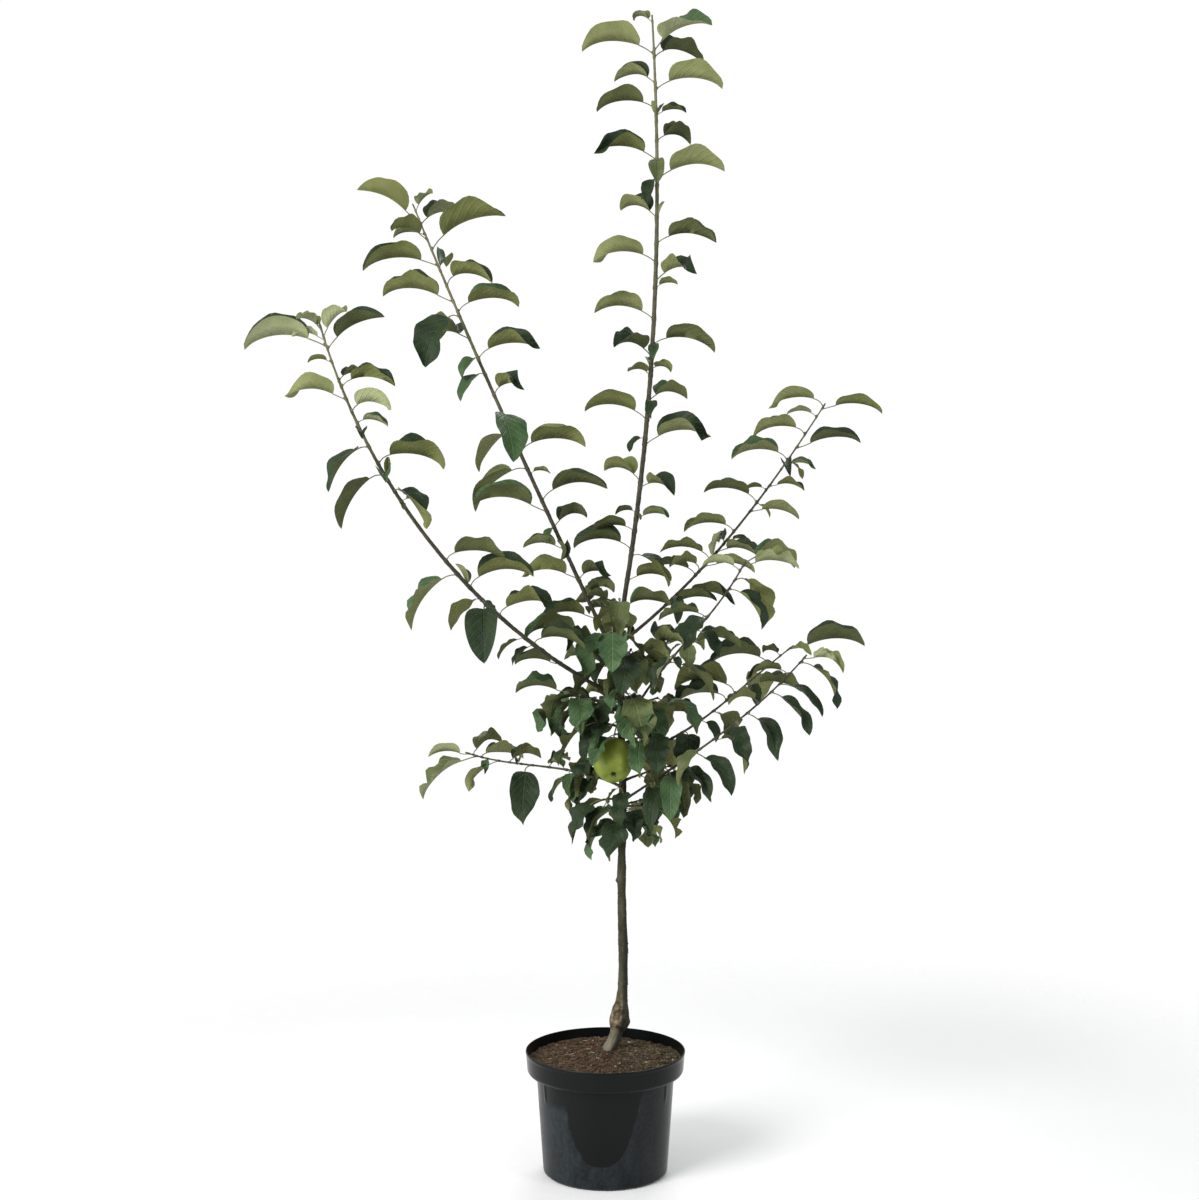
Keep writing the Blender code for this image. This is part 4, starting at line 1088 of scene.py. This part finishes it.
whip_leaves, crown_leaves = [], []
for bough in BOUGHS:
    for share, word, habit, heading, length in read_words(bough):
        seed = f"{bough.name} {word}"
        whip_leaves.append(new_leaf(seed, bough.name, share, heading, length, habit))
        draw = random.Random("side " + seed)
        odds = SIDE_LEAF_SHARE * SPARSE.get(bough.name, 1.0)
        if share < SIDE_LEAF_END and draw.random() < odds:
            habit = draw.choice((HANGING, HANGING, CLASPING))
            heading = heading + 180 + draw.uniform(-60, 60)
            if habit is HANGING and draw.random() < 0.6:
                heading = draw.uniform(225, 315)
            length = length * draw.uniform(0.34, 0.60)
            seed = "side" + seed
            whip_leaves.append(new_leaf(seed, bough.name, share, heading, length, habit))
for spur in SPURS + fine_spurs:
    read = read_swings if spur.size else read_words
    for share, word, habit, heading, length in read(spur):
        seed = f"{spur.name} {word}"
        crown_leaves.append(new_leaf(seed, spur.name, share, heading, length, habit))


def fields(leaves, count):
    """The first fields of all the leaves, each as an array."""
    return [np.array([leaf[i] for leaf in leaves], float) for i in range(count)]


def stalk_ends(root, tangent, heading, pitch, length):
    """The unit ways in which leaf stalks start and finish, and their ends: a stalk starts
    half way between its shoot's way and square to it, and its end lies a share of the
    blade's length along the mean of both ways."""
    start = unit(square_to(tangent, direction(heading, 0)) + tangent)
    finish = direction(heading, pitch)
    return start, finish, root + (start + finish) * (STALK_LENGTH * length / 2)[:, None]


def half_width(share):
    """Half the blade's width, as a share of the widest: rounded base, drawn-out tip."""
    return (share / WIDEST) ** BASE_POWER * ((1 - share) / (1 - WIDEST)) ** TIP_POWER


def blade_template():
    """One blade's faces on its stations: five columns above, three more points beneath
    inside the same margin, and one point for the tip. Returns quads and triangles with the
    upper ones first, and the number of points."""
    rows = len(STATIONS) - 1
    above = np.arange(rows * 5).reshape(rows, 5)
    beneath = above.copy()
    beneath[1:, 1:4] = rows * 5 + 1 + np.arange((rows - 1) * 3).reshape(rows - 1, 3)
    tip = rows * 5
    quads, fans = [], []
    for sheet, turn in ((above, (0, 1, 2, 3)), (beneath, (0, 3, 2, 1))):
        quad = np.stack([sheet[:-1, :-1], sheet[:-1, 1:], sheet[1:, 1:], sheet[1:, :-1]], -1)
        quads.append(quad.reshape(-1, 4)[:, turn])
        fan = np.stack([sheet[-1, :-1], sheet[-1, 1:], np.full(4, tip)], -1)
        fans.append(fan[:, (0, 1, 2) if turn[1] == 1 else (0, 2, 1)])
    return quads, fans, rows * 5 + 1 + (rows - 1) * 3


def blades(leaves, seed, lively):
    """Every blade's points and their places on its map. The midrib is the sum of small
    steps whose heading and pitch change evenly, apart from a snaking and a nod of the tip.
    Each side leaves it at the fold angle, cupped a little, and some blades curl over towards
    their tip. The margins are lobed and waved, and the underside lies a wall below. lively,
    from 0 to 1, makes all but the fold stronger."""
    draw = np.random.default_rng(seed)
    count = len(leaves)
    root, tangent, heading, length, pitch, fold, roll, twist, bend = fields(leaves, 9)
    _, _, end = stalk_ends(root, tangent, heading, pitch[:, 0], length)
    curled = (draw.random(count) < 0.26 + 0.22 * lively) * draw.choice((-1, 1), count)
    curl = curled * draw.uniform(60, 125, count)
    weave = lively * draw.uniform(-22, 22, (count, 1))
    nod = draw.uniform(-4, 18 + 24 * lively, (count, 1))

    def way(share):
        snaking = np.sin(2 * np.pi * share + 5 * weave)
        turn = heading[:, None] + bend[:, None] * share + weave * snaking
        droop = nod * np.clip((share - 0.66) / 0.34, 0, 1) ** 2
        rise = pitch[:, :1] + (pitch[:, 1:] - pitch[:, :1]) * share - droop + weave * snaking / 2
        return turn, direction(turn, rise)

    fine = np.arange(MIDRIB_STEPS)[None] / MIDRIB_STEPS
    steps = way(fine)[1] * (length / MIDRIB_STEPS)[:, None, None]
    path = end[:, None] + np.concatenate([np.zeros((count, 1, 3)), np.cumsum(steps, 1)], 1)
    place = np.minimum(STATIONS * MIDRIB_STEPS, MIDRIB_STEPS - 1e-6)
    i = place.astype(int)
    centre = path[:, i] + (path[:, i + 1] - path[:, i]) * (place - i)[None, :, None]
    turn, ahead = way(STATIONS[None])
    level = direction(turn - 90, 0)
    normal = np.cross(level, ahead)
    over = curl[:, None] * smooth((STATIONS - 0.45) / 0.55)
    rolled = np.radians(roll[:, None] + twist[:, None] * (1 + lively) * STATIONS + over)[..., None]
    across = level * np.cos(rolled) + normal * np.sin(rolled)
    normal = np.cross(across, ahead)

    broad = draw.uniform(0.90, 1.10, (count, 1)) * (1 - 0.03 * lively)
    broad = broad * np.array([[SLENDER.get(leaf.owner, 1.0)] for leaf in leaves])
    reach = broad * BLADE_WIDTH / 2 * length[:, None] * half_width(STATIONS)
    lobes = 2 * np.pi * draw.uniform(1.8, 4.2, (count, 1, 2)) * STATIONS[:, None]
    lobes = np.sin(lobes + draw.uniform(0, 2 * np.pi, (count, 1, 2)))
    lobed = (1 + lively * draw.uniform(0.02, 0.17, (count, 1, 1)) * lobes)[..., MARGINS]
    cup = draw.uniform(-6 - 16 * lively, 20 + 12 * lively, count)[:, None]
    cup = cup * np.sin(np.pi * np.clip(STATIONS * 1.1, 0, 1))
    near, far = np.radians(fold[:, None] + cup), np.radians(fold[:, None] - cup)
    side = np.stack([np.cos(near), np.cos(near) + np.cos(far)], -1) / 2
    up = np.stack([np.sin(near), np.sin(near) + np.sin(far)], -1) / 2
    zero = np.zeros((*side.shape[:2], 1))
    side = np.concatenate([-side[..., ::-1], zero, side], -1) * reach[..., None] * lobed
    up = np.concatenate([up[..., ::-1], zero, up], -1) * reach[..., None] * lobed
    waves = draw.uniform(1.2 + lively, 2.6 + lively, (count, 1, 1)) * 2 * np.pi * STATIONS[:, None]
    phase = draw.uniform(0, 2 * np.pi, (count, 1, 2))
    strength = draw.uniform(0.008 + 0.022 * lively, 0.030 + 0.075 * lively, (count, 1, 1))
    strength = strength * length[:, None, None] * np.sin(np.pi * STATIONS)[None, :, None] ** 0.6
    wave = np.sin(waves + phase) * strength
    up += wave[..., MARGINS] * (1, 0.3, 0, 0.3, 1)

    def laid(side, up):
        return (
            centre[:, :, None]
            + across[:, :, None] * side[..., None]
            + normal[:, :, None] * up[..., None]
        )

    upper = laid(side, up)
    wall = np.array((0.00028, 0.00085, 0.00028)) * (length / 0.08)[:, None, None]
    lean = np.stack([-np.sin(near), 0 * near, np.sin(near)], -1) * wall
    lower = laid(side[..., 1:4] + lean, up[..., 1:4] - wall * np.cos(near)[..., None])
    tip = upper[:, -1:, 2]
    points = np.concatenate(
        [upper[:, :-1].reshape(count, -1, 3), tip, lower[:, 1:-1].reshape(count, -1, 3)], 1
    )
    u = 0.5 + half_width(STATIONS)[:, None] * np.array((-1, -0.5, 0, 0.5, 1)) * 0.31
    flat = np.stack([u, np.broadcast_to(STATIONS[:, None], u.shape)], -1)
    flat = np.concatenate(
        [flat[:-1].reshape(-1, 2), [(0.5, 1.0)], flat[1:-1, 1:4].reshape(-1, 2)]
    )
    return points, np.tile(flat, (count, 1))


def leaf_finish(name, colour, other, gloss, veins, depth):
    """A leaf's skin: two near greens in soft patches, and the veins' relief from its map,
    a midrib and pairs of side veins that sweep forward. Veins are sunk and the skin puckers
    between them where depth is below 0, and stand proud where it isn't."""
    made = Finish(name, specular_ior_level=0.22)
    patches = made.place.noise(34.0, 3.0)
    puckers = made.place.noise(115.0, 2.0)
    grain = made.place.noise(700.0, 2.0)
    u, v = made.chart.axis("X") - 0.5, made.chart.axis("Y")
    away = (u * u) ** 0.5
    sweep = v.node("Math", {"operation": "SINE"}, {0: (v - away * 1.15) * 44.0})
    side_vein = sweep.band(0.55, 1.0)
    rib = away.band(0.022, 0.004)
    vein = side_vein.maths("MAXIMUM", side_vein * 0.55, rib)
    tone = patches.band(0.3, 0.7).mixed(colour, other)
    line = tuple(min(1.0, c * veins) for c in other)
    return made.feed(
        base_color=(vein * 0.42).mixed(tone, line),
        roughness=gloss + grain * 0.12 + puckers.band(0.35, 0.65) * 0.10,
        relief=vein * depth + puckers * (1.5 if depth < 0 else 0.5) + patches * 0.5 + grain * 0.05,
        depth=0.0010,
    )


skins = [
    leaf_finish(*row)
    for row in (
        ("leaf_deep", (0.013, 0.025, 0.010), (0.024, 0.041, 0.016), 0.44, 2.3, -1.2),
        ("leaf_green", (0.038, 0.078, 0.030), (0.064, 0.114, 0.044), 0.42, 2.1, -1.2),
        ("leaf_olive", (0.068, 0.087, 0.030), (0.106, 0.128, 0.048), 0.44, 1.9, -1.2),
        ("leaf_young", (0.120, 0.150, 0.045), (0.175, 0.205, 0.070), 0.46, 1.2, -0.5),
        ("under_dull", (0.066, 0.077, 0.027), (0.096, 0.110, 0.040), 0.66, 1.35, 0.9),
        ("under_olive", (0.112, 0.124, 0.038), (0.152, 0.163, 0.055), 0.66, 1.3, 0.9),
        ("under_grey", (0.155, 0.169, 0.063), (0.204, 0.218, 0.092), 0.68, 1.25, 0.9),
        ("under_pale", (0.225, 0.250, 0.118), (0.300, 0.325, 0.170), 0.68, 1.15, 0.9),
    )
]
DEEP, YOUNG, DULL, PALE = 0, 3, 4, 7
# Painted shade: most leaves on the shoots below this height get the deep upper skin and a darker
# underside.
SHADE_HEIGHT = 1.02
SHADE_SHARE = 0.7
BRIGHT_BOUGH = "lower_left"
WHIPS = {bough.name for bough in BOUGHS}


def tints(leaves, upper_odds, under_odds, seed):
    """Each leaf's pair of skins, dealt out by leaf: most low ones on the shoots get painted shade,
    deep above and duller beneath, those of one bough are brighter beneath, and the last leaves are
    young."""
    draw = np.random.default_rng(seed)
    upper = draw.choice(4, len(leaves), p=upper_odds)
    under = DULL + draw.choice(4, len(leaves), p=under_odds)
    bright = np.array([leaf.owner == BRIGHT_BOUGH for leaf in leaves])
    # Painted shade: the low leaves on the shoots, bar one bough's, are mostly dealt darker skins.
    painted_shade_low = np.array([leaf.root[2] < SHADE_HEIGHT and leaf.owner in WHIPS for leaf in leaves])
    painted_shade_low = painted_shade_low & ~bright & (draw.random(len(leaves)) < SHADE_SHARE)
    under = np.clip(under - painted_shade_low + bright, DULL, PALE)
    young = np.array([
        leaf.share > 0.93 and leaf.length < 0.075 and leaf.owner in WHIPS or leaf.pitch[0] > 62
        for leaf in leaves
    ])
    return np.where(young, YOUNG, np.where(painted_shade_low, DEEP, upper)), np.where(young, PALE, under)


def leaf_piece(name, leaves, upper_odds, under_odds, seed, lively, nodes):
    """All the leaves of one kind, joined into one piece that stands for the given nodes."""
    points, chart = blades(leaves, seed, lively)
    quads, fans, size = blade_template()
    start = np.arange(len(leaves))[:, None, None] * size
    upper, under = tints(leaves, upper_odds, under_odds, seed + 1)
    faces, picked = [], []
    for sheet, skin in ((0, upper), (1, under)):
        for shapes in (quads[sheet], fans[sheet]):
            faces += (shapes[None] + start).reshape(-1, shapes.shape[1]).tolist()
            picked.append(np.repeat(skin, len(shapes)))
    made = new_piece(
        name, points.reshape(-1, 3), faces, skins, np.concatenate(picked), chart, crease=150
    )
    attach(made, "root")
    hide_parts(*nodes)


LOW_FORK = 0.75
low = {bough.name for bough in BOUGHS if bough.height < LOW_FORK}
leaf_piece(
    "leaves_on_high_shoots", [leaf for leaf in whip_leaves if leaf.owner not in low],
    (0.62, 0.25, 0.12, 0.01), (0.26, 0.42, 0.25, 0.07), 101, 0.22,
    [f"shoot_{bough.name}" for bough in BOUGHS if bough.name not in low],
)
leaf_piece(
    "leaves_on_low_shoots", [leaf for leaf in whip_leaves if leaf.owner in low],
    (0.60, 0.27, 0.12, 0.01), (0.28, 0.44, 0.22, 0.06), 151, 0.54,
    [f"shoot_{bough.name}" for bough in BOUGHS if bough.name in low],
)
leaf_piece(
    "leaves_on_spurs", crown_leaves, (0.40, 0.38, 0.22, 0.00), (0.50, 0.36, 0.13, 0.01), 201, 1.0,
    [f"spur_{spur.name}" for spur in SPURS],
)


# Leaf stalks: slender, channelled and pale green, a little red where they leave the shoot.
# Each runs from its node in one bend into the midrib.
STALK_RINGS, STALK_SIDES = 9, 6


def bent(start, knee, end, t):
    """The parabola (1-t)^2 start + 2t(1-t) knee + t^2 end."""
    return (1 - t) ** 2 * start + 2 * t * (1 - t) * knee + t**2 * end


def stalks(leaves):
    """Every stalk as rings round a parabola that starts and finishes in its two ways and
    goes a little past both ends. It thickens towards the shoot."""
    root, tangent, heading, length, pitch = fields(leaves, 5)
    start, _, end = stalk_ends(root, tangent, heading, pitch[:, 0], length)
    knee = root + start * (STALK_LENGTH * length / 2)[:, None]
    t = np.linspace(-0.04, 1.03, STALK_RINGS)[None, :, None]
    path = bent(root[:, None], knee[:, None], end[:, None], t)
    thick = 0.00086 + 0.00060 * bell(t[:, :, 0], 0.16) + 0.00012 * t[:, :, 0]
    radius = thick * (length / 0.08)[:, None] ** 0.5
    return rings_along(path, radius, STALK_SIDES, direction(heading - 90, 0)[:, None])


sappy = Finish("leaf_stalk", roughness=0.5)
flush = sappy.chart.axis("Y")
mottle = sappy.place.noise(180.0, 3.0)
stem_green = mottle.band(0.3, 0.7).mixed((0.100, 0.110, 0.046), (0.160, 0.170, 0.078))
stalk_skin = sappy.feed(
    base_color=(flush.band(0.35, 0.0) * 0.7).mixed(stem_green, (0.095, 0.055, 0.034)),
    relief=mottle,
    depth=0.0002,
)
every_leaf = whip_leaves + crown_leaves
points, faces = closed_tubes(stalks(every_leaf))
chart = tube_chart(len(every_leaf), STALK_RINGS, STALK_SIDES)
leaf_stalks = new_piece("leaf_stalks", points, faces, [stalk_skin], chart=chart)
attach(leaf_stalks, "root")


# Buds: one in the angle of each leaf but the last, small, blunt, downy and pressed to the
# shoot, of overlapping brown scales.
def buds(leaves):
    """A bud above each node: a short tube along the shoot's way that leans out, widest near
    its middle and larger where the leaf is larger."""
    root, tangent, heading, length = fields(leaves, 4)
    outward = square_to(tangent, direction(heading, 0))
    size = (0.7 + 4 * length)[:, None, None] * 0.0052
    t = np.linspace(0, 1, 6)[None, :, None]
    path = root[:, None] + outward[:, None] * (0.0013 + 0.10 * size) + tangent[:, None] * 0.0012
    path = path + (tangent[:, None] + outward[:, None] * 0.45 * (1 - t)) * size * t
    full = np.sqrt(np.clip(np.sin(np.pi * (0.12 + 0.86 * t[..., 0])), 0.01, 1))
    radius = size[..., 0] * 0.33 * full
    return rings_along(path, radius, 7, direction(heading - 90, 0)[:, None])


bud_skin = mottled(
    "bud_scales", 900.0, 2.0, (0.085, 0.055, 0.036), (0.170, 0.140, 0.095), 0.0003, (0.35, 0.65),
    roughness=0.8, sheen_weight=0.3,
)
bud_leaves = [leaf for leaf in every_leaf if leaf.share < 0.96]
bud_piece = new_piece("buds", *closed_tubes(buds(bud_leaves)), [bud_skin])
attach(bud_piece, "root")


# Fruit: one ripening apple in front of the trunk, its eye turned forward and down. The
# skin is smooth and waxy, yellow green with pale dots and a faint warm side.
FRUIT_CENTRE = np.array((0.0115, -0.026, 0.686))
FRUIT_AXIS = unit(np.array((0.03, -0.84, -0.54)))
FRUIT_RADIUS = 0.0325
FRUIT_HALF_HEIGHT = 0.040
FRUIT_DIMPLE = 0.006
FRUIT_RINGS, FRUIT_SIDES = 72, 96
SEPALS = 5


def placed(points):
    """Points of a shape built round +Z, turned so that +Z runs from the fruit's eye to its
    stalk, and moved to the fruit's centre."""
    up = -FRUIT_AXIS
    right = unit(np.cross((0.0, 0.0, 1.0), up))
    turn = np.stack([right, np.cross(up, right), up])
    return points @ turn + FRUIT_CENTRE


def fruit_surface():
    """The apple round +Z: radius R sin a (1 + 0.05 cos a), with sin a to the power of 0.8 on
    the eye's half, and height H cos a, drawn in by a dimple at the stalk and a ribbed basin
    round the eye, with five faint lobes."""
    a = np.linspace(math.pi - 0.035, 0.03, FRUIT_RINGS)[:, None]
    angle = np.linspace(0, 2 * np.pi, FRUIT_SIDES, endpoint=False)[None]
    lobes = 1 + (0.010 + 0.020 * smooth((a - 2.0) / 0.9)) * np.cos(5 * angle + 0.4)
    full = np.where(a > np.pi / 2, np.sin(a) ** 0.80, np.sin(a))
    radius = FRUIT_RADIUS * full * (1 + 0.05 * np.cos(a)) * lobes
    radius = radius * (1 - 0.012 * np.cos(angle - 1.0))
    top = FRUIT_DIMPLE * 1.5 * np.cos(a) ** 10 * (a < 1.57)
    eye = FRUIT_DIMPLE * 1.1 * np.cos(a) ** 12 * (a > 1.57)
    ribs = 0.0007 * np.cos(5 * angle) * bell(a - 2.72, 0.16)
    height = FRUIT_HALF_HEIGHT * np.cos(a) * (1.02 - 0.02 * np.cos(a) ** 2) - top + eye - ribs
    x, y = radius * np.cos(angle), radius * np.sin(angle)
    return placed(np.stack([x, y, height], -1))[None]


waxy = Finish("apple_skin", coat_roughness=0.35, coat_weight=0.05, specular_ior_level=0.28)
local = waxy.place.moved(tuple(FRUIT_CENTRE))
cloud = local.noise(38.0, 4.0, 0.55)
warm_side = local.axis("Z").band(-0.010, 0.030) * local.axis("X").band(0.026, -0.020)
dots = local.node("TexVoronoi", {"feature": "F1"}, {"Vector": local, "Scale": 330.0})
specks = dots.band(0.26, 0.12)
around = local.noise(26.0, 2.0)
skin = cloud.ramp(
    (0.28, (0.128, 0.170, 0.016)), (0.50, (0.166, 0.208, 0.022)), (0.72, (0.212, 0.252, 0.036))
)
skin = (warm_side * around.band(0.35, 0.75) * 0.35).mixed(skin, (0.290, 0.260, 0.080))
skin = (specks * 0.35).mixed(skin, (0.330, 0.360, 0.170))
# A dark spot at the eye: the dried eye's own dark colour, with painted shade of its hollow.
basin = local.moved(tuple(FRUIT_AXIS * (FRUIT_HALF_HEIGHT - FRUIT_DIMPLE)))
skin = basin.distance().band(0.0052, 0.0030).mixed(skin, (0.012, 0.011, 0.006))
apple_skin = waxy.feed(
    base_color=skin,
    roughness=0.40 + cloud * 0.16 + specks * 0.15,
    relief=cloud * 0.35 + specks * 0.10,
    depth=0.0005,
)
apple = new_piece("apple", *closed_tubes(fruit_surface()), [apple_skin])
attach(apple, "root")
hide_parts("spur_fruit")

# The fruit's stalk, woody and a little thicker at both ends, and the dry five-pointed eye
hold = along(paths["fruit"], 0.9)[0]
dimple = FRUIT_CENTRE - FRUIT_AXIS * (FRUIT_HALF_HEIGHT - 2 * FRUIT_DIMPLE)
arch = (hold + dimple) / 2 + (0, 0, 0.010)
t = np.linspace(0, 1, 26)[:, None]
stalk_path = bent(hold, arch, dimple, t)[None]
thick = 0.0011 + 0.0006 * bell(t.T, 0.12) + 0.0004 * bell(t.T - 1, 0.1)
stalk_wood = mottled(
    "fruit_stalk_wood", 500.0, 4.0, (0.085, 0.075, 0.035), (0.165, 0.140, 0.070), 0.0003,
    roughness=0.7,
)
stalk_rings = rings_along(stalk_path, thick, 12, np.array((1.0, 0, 0)))
fruit_stalk = new_piece("apple_stalk", *closed_tubes(stalk_rings), [stalk_wood])
eye_skin = mottled(
    "dried_eye", 700.0, 3.0, (0.010, 0.008, 0.006), (0.045, 0.036, 0.022), 0.0005, roughness=0.9
)
turn = 2 * np.pi * np.arange(SEPALS) / SEPALS + 0.2
t = np.linspace(0, 1, 7)[None, :]
out = np.stack([np.cos(turn), np.sin(turn), 0 * turn], -1)[:, None]
reach = 0.0008 + 0.0040 * np.sin(t * 1.7) / np.sin(1.7)
climb = -FRUIT_HALF_HEIGHT + FRUIT_DIMPLE * 1.02 - 0.0026 * np.sin(t * 2.6)
sepal_path = placed(out * reach[..., None] + np.array((0, 0, 1.0)) * climb[..., None])
thick = np.repeat(0.0010 - 0.0008 * t, SEPALS, 0)
sepal_rings = rings_along(sepal_path, thick, 8, -FRUIT_AXIS)
eye = new_piece("apple_eye", *closed_tubes(sepal_rings), [eye_skin])
for piece in (fruit_stalk, eye):
    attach(piece, "root")


# The box of the solids and that of the finished tree
def corners(box):
    return [[float(v) for v in corner] for corner in box]


bpy.context.view_layer.update()
{"solids": corners(solid_box), "dressed": corners(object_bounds())}
